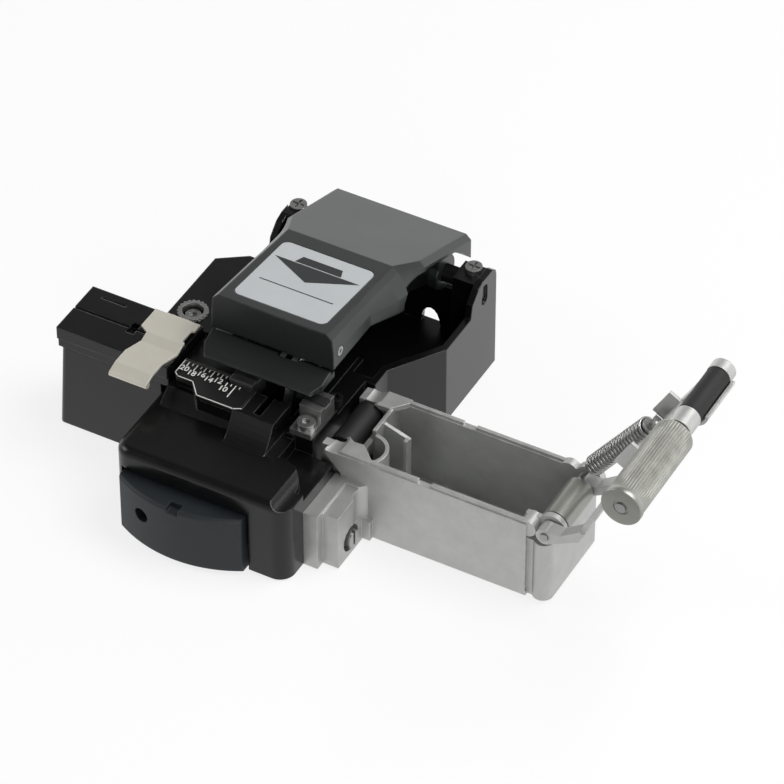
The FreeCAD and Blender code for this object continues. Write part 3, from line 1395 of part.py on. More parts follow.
def lid_spacer_tube():
    tube = rod_y(tube_span[0], tube_span[1], lid_pin_x, lid_pin_z, lid_tube_d)
    return cut(tube, rod_y(-22, 0, lid_pin_x, lid_pin_z, lid_pin_d))


def lower_roller_shaft():
    return rod_y(-17.9, -0.9, roller_x, lower_roller_z, roller_shaft_d)


def lower_roller_rubber():
    rubber = rod_y(roller_front_y, roller_rear_y, roller_x, lower_roller_z, lower_roller_d)
    return cut(rubber, rod_y(-20, 0, roller_x, lower_roller_z, roller_shaft_d))


# ---------------------------------------------------------------- collector lid, drawn closed
lid_plate_z = box_top_z + contact_gap
lid_plate_top = lid_plate_z + lid_plate_t
spring_slot_x0 = 40.0
lid_high_x = 63.0
lid_high_z = lid_plate_z + 2.5
arm_spans = ((-20.4, -15.8), (-2.8, -0.2))


def lid_arm(y0, y1):
    """Arm from the plate to the feed shaft, with a round end."""
    outline = [(31.0, lid_plate_z), (31.0, lid_plate_top), (26.0, upper_roller_z + 1.6),
               (roller_x + 0.6, upper_roller_z + arm_end_r - 0.1), (roller_x, upper_roller_z),
               (roller_x + 2.0, upper_roller_z - 1.2), (roller_x + 4.4, lid_plate_z)]
    return fuse(prism_y(outline, y0, y1), rod_y(y0, y1, roller_x, upper_roller_z, 2 * arm_end_r))


def lid_hood():
    """Curved guard over the upper roller, carried by the rear arm."""
    y0 = arm_spans[0][1] + 1.6
    y1 = arm_spans[1][0] + 0.5
    inner = upper_roller_d / 2 + 0.25
    ring = cut(rod_y(y0, y1, roller_x, upper_roller_z, 2 * inner + 1.4),
               rod_y(y0 - 1, y1 + 1, roller_x, upper_roller_z, 2 * inner))
    keep = prism_y([(roller_x, upper_roller_z), (roller_x - 4, upper_roller_z + 8),
                    (roller_x + 9, upper_roller_z + 8)], y0 - 1, y1 + 1)
    return ring.common(keep)


def lid_knuckle(y0, y1):
    """Eye on the pin, with an arm up to the plate's raised end."""
    eye = rod_y(y0, y1, lid_pin_x, lid_pin_z, 3.8)
    outline = [(lid_pin_x - 1.5, lid_pin_z - 1.1), (lid_pin_x + 1.1, lid_pin_z + 1.5),
               (lid_high_x, lid_high_z + lid_plate_t), (lid_high_x - 2.2, lid_high_z + 1.0),
               (lid_high_x - 2.2, lid_high_z - 0.2), (lid_pin_x - 3.2, lid_pin_z + 2.1)]
    return fuse(eye, prism_y(outline, y0, y1))


def lid_plate():
    """Flat plate, then a narrower one that climbs towards the hinge beside the spring."""
    front_y = box_front_y + 0.1
    full = block(26.0, spring_slot_x0, front_y, box_rear_y - 0.3, lid_plate_z, lid_plate_top)
    climb = [(spring_slot_x0 - 0.1, lid_plate_z), (lid_high_x, lid_high_z),
             (lid_high_x, lid_high_z + lid_plate_t), (spring_slot_x0 - 0.1, lid_plate_top)]
    narrow = prism_y(climb, front_y, spring_y - 2.6)
    tongue = block(roller_x + 3.0, 26.1, arm_spans[1][0], box_rear_y - 0.3, lid_plate_z,
                   lid_plate_top)
    bridge = block(lid_high_x - 1.8, lid_high_x, front_y, knuckle_rear[1], lid_high_z - 0.1,
                   lid_high_z + lid_plate_t)
    return [full, narrow, tongue, bridge]


def lid_skirts():
    """Ribs that drop inside the bin's long walls."""
    low, high = box_top_z - 2.4, lid_plate_z + 0.1
    rear_y = box_rear_y - box_wall - 1.2
    front_y = box_front_y + box_wall + 0.4
    return [block(33.0, spring_slot_x0, rear_y, rear_y + 0.8, low, high),
            block(33.0, spring_slot_x0, front_y, front_y + 0.8, low, high)]


def collector_lid():
    parts = lid_plate() + lid_skirts()
    parts += [lid_arm(*span) for span in arm_spans]
    parts.append(lid_hood())
    parts += [lid_knuckle(*knuckle_front), lid_knuckle(*knuckle_rear)]
    body = fuse(*parts)
    pin_bore = rod_y(-22, 0, lid_pin_x, lid_pin_z, lid_pin_d + 2 * running_fit)
    shaft_bore = rod_y(-22, arm_spans[1][1] - 0.3, roller_x, upper_roller_z,
                       roller_shaft_d + 2 * running_fit)
    window = block(26.5, 31.2, arm_spans[0][1] + 0.3, arm_spans[1][0] - 0.3, lid_plate_z - 1,
                   lid_plate_top + 1)
    return opened_lid(cut(body, pin_bore, shaft_bore, window, *spring_anchors_closed()))


def lid_spring():
    """Extension spring beside the plate, with a hook at each end."""
    start = V(spring_x1, spring_y, spring_low_z)
    end = V(spring_x0, spring_y, spring_high_z)
    run = end - start
    spring = coil((lid_spring_d - lid_spring_wire) / 2, lid_spring_pitch,
                  run.Length / lid_spring_pitch, lid_spring_wire)
    angle = math.degrees(math.atan2(run.x, run.z))
    spring.rotate(V(0, 0, 0), V(0, 1, 0), angle)
    spring.translate(start)
    return opened_lid(spring)


spring_y = -3.6
spring_x0 = 42.4
spring_x1 = 62.4
spring_high_z = 20.6
spring_low_z = 18.4


def spring_anchors_closed():
    plug_d = lid_spring_d - 2 * lid_spring_wire - 0.1
    post = rod_z(spring_high_z - 0.6, lid_plate_top + 0.5, spring_slot_x0 - 1.2, spring_y, 1.4)
    bar = rod_x(spring_slot_x0 - 1.2, spring_x0, spring_y, spring_high_z, 0.9)
    upper_plug = rod_x(spring_x0 - 0.5, spring_x0 + 1.0, spring_y, spring_high_z, plug_d)
    lower_plug = rod_x(spring_x1 - 1.0, spring_x1 + 0.5, spring_y, spring_low_z, plug_d)
    lower_bar = rod_x(spring_x1, lid_pin_x - 1.5, spring_y, spring_low_z, 1.0)
    return [fuse(post, bar, upper_plug), fuse(lower_plug, lower_bar)]


def lid_spring_anchors():
    """Pins and plugs that hold the spring's two ends on the lid."""
    return opened_lid(Part.makeCompound(spring_anchors_closed()))


def feed_shaft():
    return opened_lid(rod_y(feed_knob_front_y - 0.25, arm_spans[1][1] - 0.4, roller_x,
                            upper_roller_z, roller_shaft_d))


def upper_roller_rubber():
    rubber = rod_y(arm_spans[0][1] + 0.25, arm_spans[1][0] - 0.25, roller_x, upper_roller_z,
                   upper_roller_d)
    bored = cut(rubber, rod_y(-20, 0, roller_x, upper_roller_z, roller_shaft_d))
    return opened_lid(bored)


def feed_knob():
    """Fluted thumb knob with a smooth disc at its front."""
    r = feed_knob_d / 2
    barrel = rod_y(feed_knob_front_y + feed_disc_t - 0.1, feed_knob_rear_y, roller_x,
                   upper_roller_z, feed_knob_d)
    barrel = barrel.makeFillet(1.2, [e for e in barrel.Edges
                                     if near(e.BoundBox.YMin, feed_knob_rear_y)])
    flutes = []
    for index in range(feed_flutes):
        angle = 2 * math.pi * index / feed_flutes
        x = roller_x + (r + 0.15) * math.cos(angle)
        z = upper_roller_z + (r + 0.15) * math.sin(angle)
        flutes.append(rod_y(feed_knob_front_y + feed_disc_t + 0.8, feed_knob_rear_y - 1.6, x, z,
                            0.8))
    barrel = cut(barrel, *flutes)
    disc = rod_y(feed_knob_front_y, feed_knob_front_y + feed_disc_t, roller_x, upper_roller_z,
                 feed_disc_d)
    disc = disc.makeFillet(0.4, [e for e in disc.Edges if e.BoundBox.YLength < 0.01])
    knob = fuse(barrel, disc)
    return opened_lid(cut(knob, rod_y(-50, 0, roller_x, upper_roller_z, roller_shaft_d)))


def feed_clip():
    """Retaining ring on the feed shaft, behind the front arm."""
    y0 = feed_knob_rear_y + 0.15
    ring = rod_y(y0, arm_spans[0][0] - 0.1, roller_x, upper_roller_z, 4.2)
    return opened_lid(cut(ring, rod_y(-50, 0, roller_x, upper_roller_z, roller_shaft_d)))


# ---------------------------------------------------------------- write the nodes
NODES = {
    "main_casting": main_casting,
    "bottom_cover": bottom_cover,
    "bottom_cover_screws": bottom_cover_screws,
    "base_mat": base_mat,
    "rubber_feet": rubber_feet,
    "lower_bed_left": lambda: lower_bed(left_bed_x0, left_bed_x1, False),
    "lower_bed_right": lambda: lower_bed(right_bed_x0, right_bed_x1, True),
    "lower_pads": lower_pads,
    "bed_screws": bed_screws,
    "scale_plate": scale_plate,
    "holder_block": holder_block,
    "holder_screw": holder_screw,
    "holder_plate": holder_plate,
    "holder_magnet": holder_magnet,
    "leaf_pin": leaf_pin,
    "leaf_clamp": leaf_clamp,
    "adjust_screw": adjust_screw,
    "adjust_ring": adjust_ring,
    "deck_screw": deck_screw,
    "slide_rail": slide_rail,
    "rail_screws": rail_screws,
    "linear_block": linear_block,
    "slider_carriage": slider_carriage,
    "slider_knob": slider_knob,
    "knob_screw": knob_screw,
    "blade_bracket": blade_bracket,
    "blade_axle": blade_axle,
    "blade_wheel": blade_wheel,
    "blade_hub": blade_hub,
    "hinge_shaft": hinge_shaft,
    "hinge_screws": hinge_screws,
    "lever_cover": lever_cover,
    "label_plate": label_plate,
    "lever_screws": lever_screws,
    "lever_frame": lever_frame,
    "anvil": anvil,
    "clamp_arm": clamp_arm,
    "clamp_arm_bushes": clamp_arm_bushes,
    "upper_pads": upper_pads,
    "press_springs": press_springs,
    "collector_box": collector_box,
    "collector_screw": collector_screw,
    "lid_hinge_pin": lid_hinge_pin,
    "lid_spacer_tube": lid_spacer_tube,
    "lower_roller_shaft": lower_roller_shaft,
    "lower_roller_rubber": lower_roller_rubber,
    "collector_lid": collector_lid,
    "lid_spring": lid_spring,
    "lid_spring_anchors": lid_spring_anchors,
    "feed_shaft": feed_shaft,
    "upper_roller_rubber": upper_roller_rubber,
    "feed_knob": feed_knob,
    "feed_clip": feed_clip,
}


def main():
    os.makedirs("parts", exist_ok=True)
    for name, make in NODES.items():
        shape = make()
        solids = shape.Solids
        if not solids or not shape.isValid():
            print("problem:", name, len(solids), shape.isValid())
        if len(solids) == 1:
            shape = solids[0]
        shape.exportStep("parts/" + name + ".step")
        print("%-22s solids %d volume %.1f" % (name, len(solids), shape.Volume))


main()
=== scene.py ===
import json
import math

import bmesh
import bpy
from bpy.props import FloatProperty, FloatVectorProperty, IntProperty, PointerProperty
from bpy.types import Operator, Panel, PropertyGroup
from mathutils import Matrix, Vector


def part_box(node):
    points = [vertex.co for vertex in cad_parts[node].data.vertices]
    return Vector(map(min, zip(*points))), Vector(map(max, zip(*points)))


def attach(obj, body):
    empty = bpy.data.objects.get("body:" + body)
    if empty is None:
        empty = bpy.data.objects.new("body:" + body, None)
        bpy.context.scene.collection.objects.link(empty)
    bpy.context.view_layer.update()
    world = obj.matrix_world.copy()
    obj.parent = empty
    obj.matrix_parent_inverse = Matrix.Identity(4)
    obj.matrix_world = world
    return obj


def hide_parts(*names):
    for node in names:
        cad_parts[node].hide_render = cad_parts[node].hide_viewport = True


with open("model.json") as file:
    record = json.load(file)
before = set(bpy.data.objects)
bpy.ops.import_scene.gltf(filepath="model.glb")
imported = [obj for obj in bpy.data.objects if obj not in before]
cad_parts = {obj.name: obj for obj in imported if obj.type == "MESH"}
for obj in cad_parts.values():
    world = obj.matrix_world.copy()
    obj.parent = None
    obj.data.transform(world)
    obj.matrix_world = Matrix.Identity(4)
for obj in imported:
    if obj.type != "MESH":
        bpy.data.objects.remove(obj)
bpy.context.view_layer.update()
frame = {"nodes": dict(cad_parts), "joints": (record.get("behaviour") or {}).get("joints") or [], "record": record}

bl_info = {
    "name": "Fibre cleaver",
    "version": (1, 0, 0),
    "blender": (4, 5, 0),
    "location": "View3D > Sidebar > Cleaver",
    "description": "Finishes and fine pieces of a fibre cleaver around its packed CAD frame",
    "category": "Object",
}

MM = 0.001


# ---------------------------------------------------------------- helpers

def linear(code):
    """sRGB hex such as "#1a2b3c" as linear red, green and blue."""
    channels = [int(code[i:i + 2], 16) / 255 for i in (1, 3, 5)]
    return tuple(c / 12.92 if c <= 0.04045 else ((c + 0.055) / 1.055) ** 2.4 for c in channels)


def joint(name):
    """The frame's joint of that name."""
    return next(j for j in frame["joints"] if j["name"] == name)


def add_node(tree, kind, settings=None, links=None):
    """Adds a node, sets its properties and input values, and links sockets into its inputs."""
    node = tree.nodes.new(kind)
    for key, value in (settings or {}).items():
        if isinstance(key, str) and hasattr(node, key) and key not in node.inputs:
            setattr(node, key, value)
        else:
            node.inputs[key].default_value = value
    for key, source in (links or {}).items():
        tree.links.new(source, node.inputs[key])
    return node


def maths(tree, operation, first, second=None):
    """A maths node's result, from sockets or plain numbers."""
    node = add_node(tree, "ShaderNodeMath", {"operation": operation})
    for slot, value in enumerate((first, second)):
        if isinstance(value, (int, float)):
            node.inputs[slot].default_value = value
        elif value:
            tree.links.new(value, node.inputs[slot])
    return node.outputs[0]


def new_piece(name, mesh, material, body, replaced=()):
    """Makes a finished mesh an object that rides on a body."""
    piece = bpy.data.objects.new(name, mesh)
    bpy.context.scene.collection.objects.link(piece)
    if not mesh.materials:
        mesh.materials.append(material)
    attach(piece, body)
    for node in replaced:
        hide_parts(node)
    return piece


def mesh_from(name, build):
    """A mesh filled by a bmesh function, with its normals facing out."""
    shape = bmesh.new()
    build(shape)
    bmesh.ops.remove_doubles(shape, verts=shape.verts, dist=1e-7)
    bmesh.ops.recalc_face_normals(shape, faces=shape.faces)
    mesh = bpy.data.meshes.new(name)
    shape.to_mesh(mesh)
    shape.free()
    return mesh


def smooth(mesh, angle=35.0):
    """Shades a mesh smooth, with edges sharper than the angle kept crisp."""
    for face in mesh.polygons:
        face.use_smooth = True
    mesh.set_sharp_from_angle(angle=math.radians(angle))


def add_prism(shape, outline, low, high, place=Matrix.Identity(4)):
    """Adds a flat outline, pushed from one height to another, to a bmesh."""
    bottom = [shape.verts.new(place @ Vector((x, y, low))) for x, y in outline]
    top = [shape.verts.new(place @ Vector((x, y, high))) for x, y in outline]
    shape.faces.new(bottom[::-1])
    shape.faces.new(top)
    for i in range(len(outline)):
        j = (i + 1) % len(outline)
        shape.faces.new((bottom[i], bottom[j], top[j], top[i]))


def grown(name, build_tree, values, material):
    """Runs a Geometry Nodes tree on an empty mesh and returns its result as a plain mesh.

    build_tree(tree, inputs) links the tree and returns its last geometry socket.
    """
    tree = bpy.data.node_groups.new(name, "GeometryNodeTree")
    tree.interface.new_socket("Geometry", in_out="OUTPUT", socket_type="NodeSocketGeometry")
    sockets = {}
    for key, value in values.items():
        kind = "NodeSocketInt" if isinstance(value, int) else "NodeSocketFloat"
        sockets[key] = tree.interface.new_socket(key, in_out="INPUT", socket_type=kind)
    inputs = tree.nodes.new("NodeGroupInput")
    last = build_tree(tree, inputs.outputs)
    real = add_node(tree, "GeometryNodeRealizeInstances", {}, {"Geometry": last})
    painted = add_node(tree, "GeometryNodeSetMaterial", {"Material": material},
                       {"Geometry": real.outputs[0]})
    output = tree.nodes.new("NodeGroupOutput")
    tree.links.new(painted.outputs[0], output.inputs[0])

    holder = bpy.data.objects.new(name, bpy.data.meshes.new(name))
    bpy.context.scene.collection.objects.link(holder)
    modifier = holder.modifiers.new(name, "NODES")
    modifier.node_group = tree
    for key, value in values.items():
        modifier[sockets[key].identifier] = value
    ready = holder.evaluated_get(bpy.context.evaluated_depsgraph_get())
    mesh = bpy.data.meshes.new_from_object(ready)
    holder.modifiers.remove(modifier)
    bpy.data.objects.remove(holder)
    mesh.name = name
    return mesh


# ---------------------------------------------------------------- sizes and colours

class CleaverSizes(PropertyGroup):
    """Sizes of the fine pieces that the scene adds."""
    mark_width: FloatProperty(
        name="Mark width", description="Width of a graduation mark",
        default=0.22 * MM, min=0, unit="LENGTH")
    mark_height: FloatProperty(
        name="Paint thickness", description="How far printed paint stands on its plate",
        default=0.04 * MM, min=0, unit="LENGTH")
    numeral_height: FloatProperty(
        name="Numeral height", description="Height of a numeral on the scale",
        default=1.5 * MM, min=0, unit="LENGTH")
    knob_flutes: IntProperty(
        name="Flutes", description="Flutes round the feed knob", default=44, min=6)
    flute_depth: FloatProperty(
        name="Flute depth", description="Depth of a flute on the feed knob",
        default=0.16 * MM, min=0, unit="LENGTH")
    lid_wire: FloatProperty(
        name="Lid spring wire", description="Wire diameter of the lid's spring",
        default=0.7 * MM, min=0, unit="LENGTH")
    lid_turns: IntProperty(
        name="Lid spring turns", description="Turns of the lid's spring", default=19, min=3)
    lid_coil: FloatProperty(
        name="Lid spring diameter", description="Outer diameter of the lid's spring",
        default=4.5 * MM, min=0, unit="LENGTH")
    # width of the pale line that paints a highlight along the scale plate's front rim
    rim_width: FloatProperty(
        name="Scale painted highlight", description="Width of the pale line round the scale plate",
        default=0.18 * MM, min=0, unit="LENGTH")


def colour(name, description, code):
    """A colour setting with its default from an sRGB hex value."""
    return FloatVectorProperty(name=name, description=description, subtype="COLOR", size=3,
                               min=0, max=1, default=linear(code))


class CleaverColours(PropertyGroup):
    """Colours of the finishes."""
    enamel: colour("Black enamel", "Gloss enamel on the body's castings", "#0a0a0b")
    lever: colour("Lever enamel", "Satin enamel on the lever and clamp arm", "#1b1e1e")
    knob: colour("Slider knob", "Moulded knob of the blade slider", "#171c21")
    diecast: colour("Die-cast alloy", "Bare die-cast collector", "#bcbdbb")
    turned: colour("Turned alloy", "Fluted knob and spacer tube", "#9d9d97")
    steel: colour("Steel", "Pins, beds and screws", "#a9a9a8")
    blackened: colour("Blackened steel", "Blackened screws and brackets", "#232324")
    stainless: colour("Stainless sheet", "Fibre leaf clamp", "#d8d4c8")
    rubber: colour("Rubber", "Rollers, pads and feet", "#101010")
    brass: colour("Brass", "Bushes of the clamp arm", "#b39a4d")
    carbide: colour("Carbide", "Blade wheel", "#8b8e93")
    print_white: colour("White print", "Marks and numerals on the scale", "#d8d8d4")
    label: colour("Label film", "Silver film on the lever", "#c0c4c6")
    label_ink: colour("Label ink", "Dark print on the label", "#15181a")
    floor: colour("Floor", "Pale studio floor", "#f4f4f4")


# ---------------------------------------------------------------- finishes

def worn_edges(tree, skin, rounded, broad, wear, wear_amount):
    """A skin colour with bare metal showing in patches where a rounded edge turns."""
    flat = add_node(tree, "ShaderNodeNewGeometry").outputs["Normal"]
    bend = add_node(tree, "ShaderNodeVectorMath", {"operation": "DOT_PRODUCT"},
                    {0: rounded.outputs[0], 1: flat})
    edge = add_node(tree, "ShaderNodeMapRange",
                    {"From Min": 0.995, "From Max": 0.9, "To Min": 0.0, "To Max": 1.0},
                    {"Value": bend.outputs["Value"]})
    chipped = add_node(tree, "ShaderNodeMapRange",
                       {"From Min": 0.42, "From Max": 0.62, "To Min": 0.0,
                        "To Max": wear_amount}, {"Value": broad.outputs["Fac"]})
    amount = maths(tree, "MULTIPLY", edge.outputs[0], chipped.outputs[0])
    worn = add_node(tree, "ShaderNodeMix", {"data_type": "RGBA", 7: wear + (1,)},
                    {0: amount, 6: skin})
    return worn.outputs[2]


def surface(name, tint, rough, metal=0.0, grain=0.4, depth=0.01, mottle=5.0, shade=0.1,
            rough_spread=0.06, round_edge=0.15, wear=None, wear_amount=0.0):
    """A finish with fine grain, broad mottling, rounded edges and wear along them.

    grain, mottle and round_edge are in millimetres, and depth is the grain's height.
    """
    material = bpy.data.materials.new(name)
    material.use_nodes = True
    tree = material.node_tree
    shader = tree.nodes["Principled BSDF"]
    shader.inputs["Metallic"].default_value = metal
    place = add_node(tree, "ShaderNodeTexCoord").outputs["Object"]
    fine = add_node(tree, "ShaderNodeTexNoise",
                    {"Scale": 1 / (grain * MM), "Detail": 3.0, "Roughness": 0.6},
                    {"Vector": place})
    broad = add_node(tree, "ShaderNodeTexNoise",
                     {"Scale": 1 / (mottle * MM), "Detail": 5.0, "Roughness": 0.62},
                     {"Vector": place})
    rounded = add_node(tree, "ShaderNodeBevel", {"samples": 6, "Radius": round_edge * MM})
    bump = add_node(tree, "ShaderNodeBump", {"Strength": 1.0, "Distance": depth * MM},
                    {"Height": fine.outputs["Fac"], "Normal": rounded.outputs[0]})
    tree.links.new(bump.outputs[0], shader.inputs["Normal"])

    dark = tuple(c * (1 - shade) for c in tint) + (1,)
    light = tuple(min(1, c * (1 + shade)) for c in tint) + (1,)
    tinted = add_node(tree, "ShaderNodeMix", {"data_type": "RGBA", 6: dark, 7: light},
                      {0: broad.outputs["Fac"]})
    skin = tinted.outputs[2]
    roughness = add_node(tree, "ShaderNodeMapRange",
                         {"To Min": rough - rough_spread, "To Max": rough + rough_spread},
                         {"Value": broad.outputs["Fac"]})
    tree.links.new(roughness.outputs[0], shader.inputs["Roughness"])
    if wear:
        skin = worn_edges(tree, skin, rounded, broad, wear, wear_amount)
    tree.links.new(skin, shader.inputs["Base Color"])
    return material


BRUSH_LENGTH = 40            # length of a brush line as a multiple of its pitch


def brush_lines(material, direction, line, depth):
    """Adds straight brushing along an axis (0, 1 or 2): line is its pitch in millimetres."""
    tree = material.node_tree
    place = next(n for n in tree.nodes if n.type == "TEX_COORD").outputs["Object"]
    stretch = [1 / (line * MM)] * 3
    stretch[direction] /= BRUSH_LENGTH
    mapping = add_node(tree, "ShaderNodeMapping", {"Scale": stretch}, {"Vector": place})
    lines = add_node(tree, "ShaderNodeTexNoise", {"Scale": 1.0, "Detail": 2.0},
                     {"Vector": mapping.outputs[0]})
    bump = next(n for n in tree.nodes if n.type == "BUMP")
    tree.links.new(lines.outputs["Fac"], bump.inputs["Height"])
    bump.inputs["Distance"].default_value = depth * MM


def black_enamel(colours):
    """Stoved gloss enamel on die-cast metal: deep black, faint orange peel, lighter worn edges."""
    return surface("black_stove_enamel", tuple(colours.enamel), 0.24, grain=0.9, depth=0.006,
                   mottle=9, shade=0.25, rough_spread=0.05, round_edge=0.35,
                   wear=linear("#4a4a49"), wear_amount=0.5)


def lever_enamel(colours):
    """Satin powder enamel: charcoal, with a fine pebbled skin that softens reflections."""
    return surface("satin_powder_enamel", tuple(colours.lever), 0.36, grain=0.35, depth=0.006,
                   mottle=12, shade=0.12, rough_spread=0.04, round_edge=0.5,
                   wear=linear("#565957"), wear_amount=0.35)


def moulded_knob(colours):
    """Spark-eroded ABS moulding: blue-black and matte."""
    return surface("moulded_abs", tuple(colours.knob), 0.5, grain=0.28, depth=0.012, mottle=7,
                   shade=0.12, round_edge=0.35)


def diecast_alloy(colours):
    """Bare die-cast aluminium: grey, cloudy from the die, with a dull sheen and bright rims."""
    return surface("die_cast_aluminium", tuple(colours.diecast), 0.46, metal=0.75, grain=0.3,
                   depth=0.012, mottle=4, shade=0.2, rough_spread=0.1, round_edge=0.2,
                   wear=linear("#e4e4e0"), wear_amount=0.7)


def turned_alloy(colours):
    """Turned aluminium: pale and bright."""
    return surface("turned_aluminium", tuple(colours.turned), 0.4, metal=0.8, grain=0.25,
                   depth=0.008, mottle=3, shade=0.15, round_edge=0.1,
                   wear=linear("#f4f4ee"), wear_amount=0.7)


def plain_steel(colours):
    """Ground steel: bright, with a fine grain."""
    return surface("ground_steel", tuple(colours.steel), 0.3, metal=0.9, grain=0.2, depth=0.004,
                   mottle=2, shade=0.12, round_edge=0.1)


def blackened_steel(colours):
    """Oil-blackened steel: nearly black, with a low metallic shine."""
    return surface("blackened_steel", tuple(colours.blackened), 0.36, metal=0.7, grain=0.3,
                   depth=0.006, mottle=2, shade=0.2, round_edge=0.12,
                   wear=linear("#8a8a88"), wear_amount=0.5)


def stainless_sheet(colours):
    """Cold-rolled stainless sheet: warm, bright and brushed along the leaf."""
    material = surface("stainless_sheet", tuple(colours.stainless), 0.36, metal=0.45, grain=0.3,
                       depth=0.004, mottle=6, shade=0.06, round_edge=0.12)
    brush_lines(material, 1, 0.12, 0.002)
    return material


def spring_wire(colours):
    """Hard-drawn spring wire: bright, slightly grey."""
    return surface("spring_wire", tuple(colours.steel), 0.28, metal=0.95, grain=0.4, depth=0.003,
                   mottle=2, shade=0.1, round_edge=0.03)


def cast_rubber(colours):
    """Moulded rubber: black and dull, with a dusty bloom."""
    return surface("moulded_rubber", tuple(colours.rubber), 0.62, grain=0.25, depth=0.015,
                   mottle=3, shade=0.3, rough_spread=0.08, round_edge=0.2)


def scale_enamel(colours):
    """Anodised scale plate: flat black, so that its white marks stand out."""
    return surface("black_anodised_aluminium", tuple(colours.enamel), 0.42, grain=0.3,
                   depth=0.005, mottle=4, shade=0.2, round_edge=0.12,
                   wear=linear("#b9b9b6"), wear_amount=0.9)


def screen_print(colours):
    """Screen-printed white ink: flat, a little thin in places."""
    return surface("white_screen_print", tuple(colours.print_white), 0.6, grain=0.15,
                   depth=0.004, mottle=1.5, shade=0.12, round_edge=0.02)


def label_film(colours):
    """Metallised polyester film: pale silver with a soft sheen."""
    return surface("silver_polyester_film", tuple(colours.label), 0.34, metal=0.35, grain=0.5,
                   depth=0.003, mottle=8, shade=0.06, round_edge=0.08)


def label_ink(colours):
    """Screen-printed dark ink on the film."""
    return surface("dark_screen_print", tuple(colours.label_ink), 0.45, grain=0.2, depth=0.003,
                   mottle=2, shade=0.2, round_edge=0.02)


def plain_brass(colours):
    """Drawn brass bushes: yellow and slightly dull."""
    return surface("drawn_brass", tuple(colours.brass), 0.35, metal=0.9, grain=0.2, depth=0.004,
                   mottle=2, shade=0.12, round_edge=0.08)


def ground_carbide(colours):
    """Ground tungsten carbide: cool grey with a fine satin."""
    return surface("ground_carbide", tuple(colours.carbide), 0.25, metal=0.9, grain=0.1,
                   depth=0.002, mottle=1.5, shade=0.08, round_edge=0.05)


FINISHES = {
    "black_enamel": black_enamel,
    "lever_paint": lever_enamel,
    "knob_plastic": moulded_knob,
    "diecast": diecast_alloy,
    "turned_alloy": turned_alloy,
    "steel": plain_steel,
    "dark_steel": blackened_steel,
    "stainless": stainless_sheet,
    "spring_steel": spring_wire,
    "carbide": ground_carbide,
    "roller_rubber": cast_rubber,
    "pad_rubber": cast_rubber,
    "scale_black": scale_enamel,
    "label_silver": label_film,
    "magnet": plain_steel,
    "brass": plain_brass,
}
made = {}


def finish(maker):
    """The material that a finish function makes, made once."""
    if maker.__name__ not in made:
        made[maker.__name__] = maker(bpy.context.scene.cleaver_colours)
    return made[maker.__name__]


class CLEAVER_OT_finish_parts(Operator):
    """Give every CAD part the finish of its material slot"""
    bl_idname = "cleaver.finish_parts"
    bl_label = "Finish CAD parts"

    def execute(self, context):
        for part in frame["record"]["subparts"]:
            node = frame["nodes"][part["node"]]
            material = finish(FINISHES[part["material_slot"]])
            if not node.material_slots:
                node.data.materials.append(material)
            for held in node.material_slots:
                held.material = material
        return {"FINISHED"}


# ---------------------------------------------------------------- graduated scale

FAR_READING = 20             # millimetres from the blade to the leftmost mark
NEAR_READING = 10            # and to the first mark on the step
UPPER_BACK = 0.75 * MM       # the upper marks hang this far in front of the plate's back edge
STEP_BACK = 0.85 * MM        # and the step's marks this far in front of the left bed
SHORT_MARK = 0.7 * MM
MIDDLE_MARK = 1.3 * MM
LONG_MARK = 1.9 * MM
LAST_MARK = 3.8 * MM         # the mark nearest the blade
NUMERAL_DROPS = (2.1, 2.7)   # from the upper marks' back line, in turn, in millimetres
TEXT_SCALE = 1.35            # text size of the font for a numeral one unit high
BOLDER = 0.02 * MM           # each stroke of a numeral grows by this much on both sides
HIGHLIGHT_SUNK = 0.02 * MM         # the painted highlight line starts this far inside the plate
HIGHLIGHT_INSET = 0.2 * MM         # the painted highlight line's middle, inside the plate's edge


def mark_tree(tree, inputs):
    """A row of upright bars along X, one per step, from the named inputs."""
    bar = add_node(tree, "GeometryNodeMeshCube")
    size = add_node(tree, "ShaderNodeCombineXYZ", {},
                    {"X": inputs["Width"], "Y": inputs["Length"], "Z": inputs["Height"]})
    tree.links.new(size.outputs[0], bar.inputs["Size"])
    step = add_node(tree, "ShaderNodeCombineXYZ", {}, {"X": inputs["Step"]})
    start = add_node(tree, "ShaderNodeCombineXYZ", {},
                     {"X": inputs["Start X"], "Y": inputs["Start Y"], "Z": inputs["Start Z"]})
    row = add_node(tree, "GeometryNodeMeshLine", {"mode": "OFFSET"},
                   {"Count": inputs["Count"], "Start Location": start.outputs[0],
                    "Offset": step.outputs[0]})
    return add_node(tree, "GeometryNodeInstanceOnPoints", {},
                    {"Points": row.outputs[0], "Instance": bar.outputs[0]}).outputs[0]


def mark_row(context, name, first_x, back_y, length, step, count):
    """One row of graduation marks that hang from a back line."""
    sizes = context.scene.cleaver_sizes
    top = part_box("scale_plate")[1].z
    values = {"Width": sizes.mark_width, "Length": length, "Height": 2 * sizes.mark_height,
              "Step": step, "Start X": first_x, "Start Y": back_y - length / 2, "Start Z": top,
              "Count": count}
    return grown(name, mark_tree, values, finish(screen_print))


def numeral(context, text, x, y, z):
    """A numeral's mesh, centred on a point and standing as thick as the print."""
    sizes = context.scene.cleaver_sizes
    curve = bpy.data.curves.new("numeral", "FONT")
    curve.body = text
    curve.size = sizes.numeral_height * TEXT_SCALE
    curve.extrude = sizes.mark_height
    curve.align_x = "CENTER"
    curve.align_y = "CENTER"
    curve.offset = BOLDER
    curve.resolution_u = 3
    holder = bpy.data.objects.new("numeral", curve)
    context.scene.collection.objects.link(holder)
    ready = holder.evaluated_get(context.evaluated_depsgraph_get())
    mesh = bpy.data.meshes.new_from_object(ready)
    bpy.data.objects.remove(holder)
    mesh.transform(Matrix.Translation((x, y, z)))
    return mesh


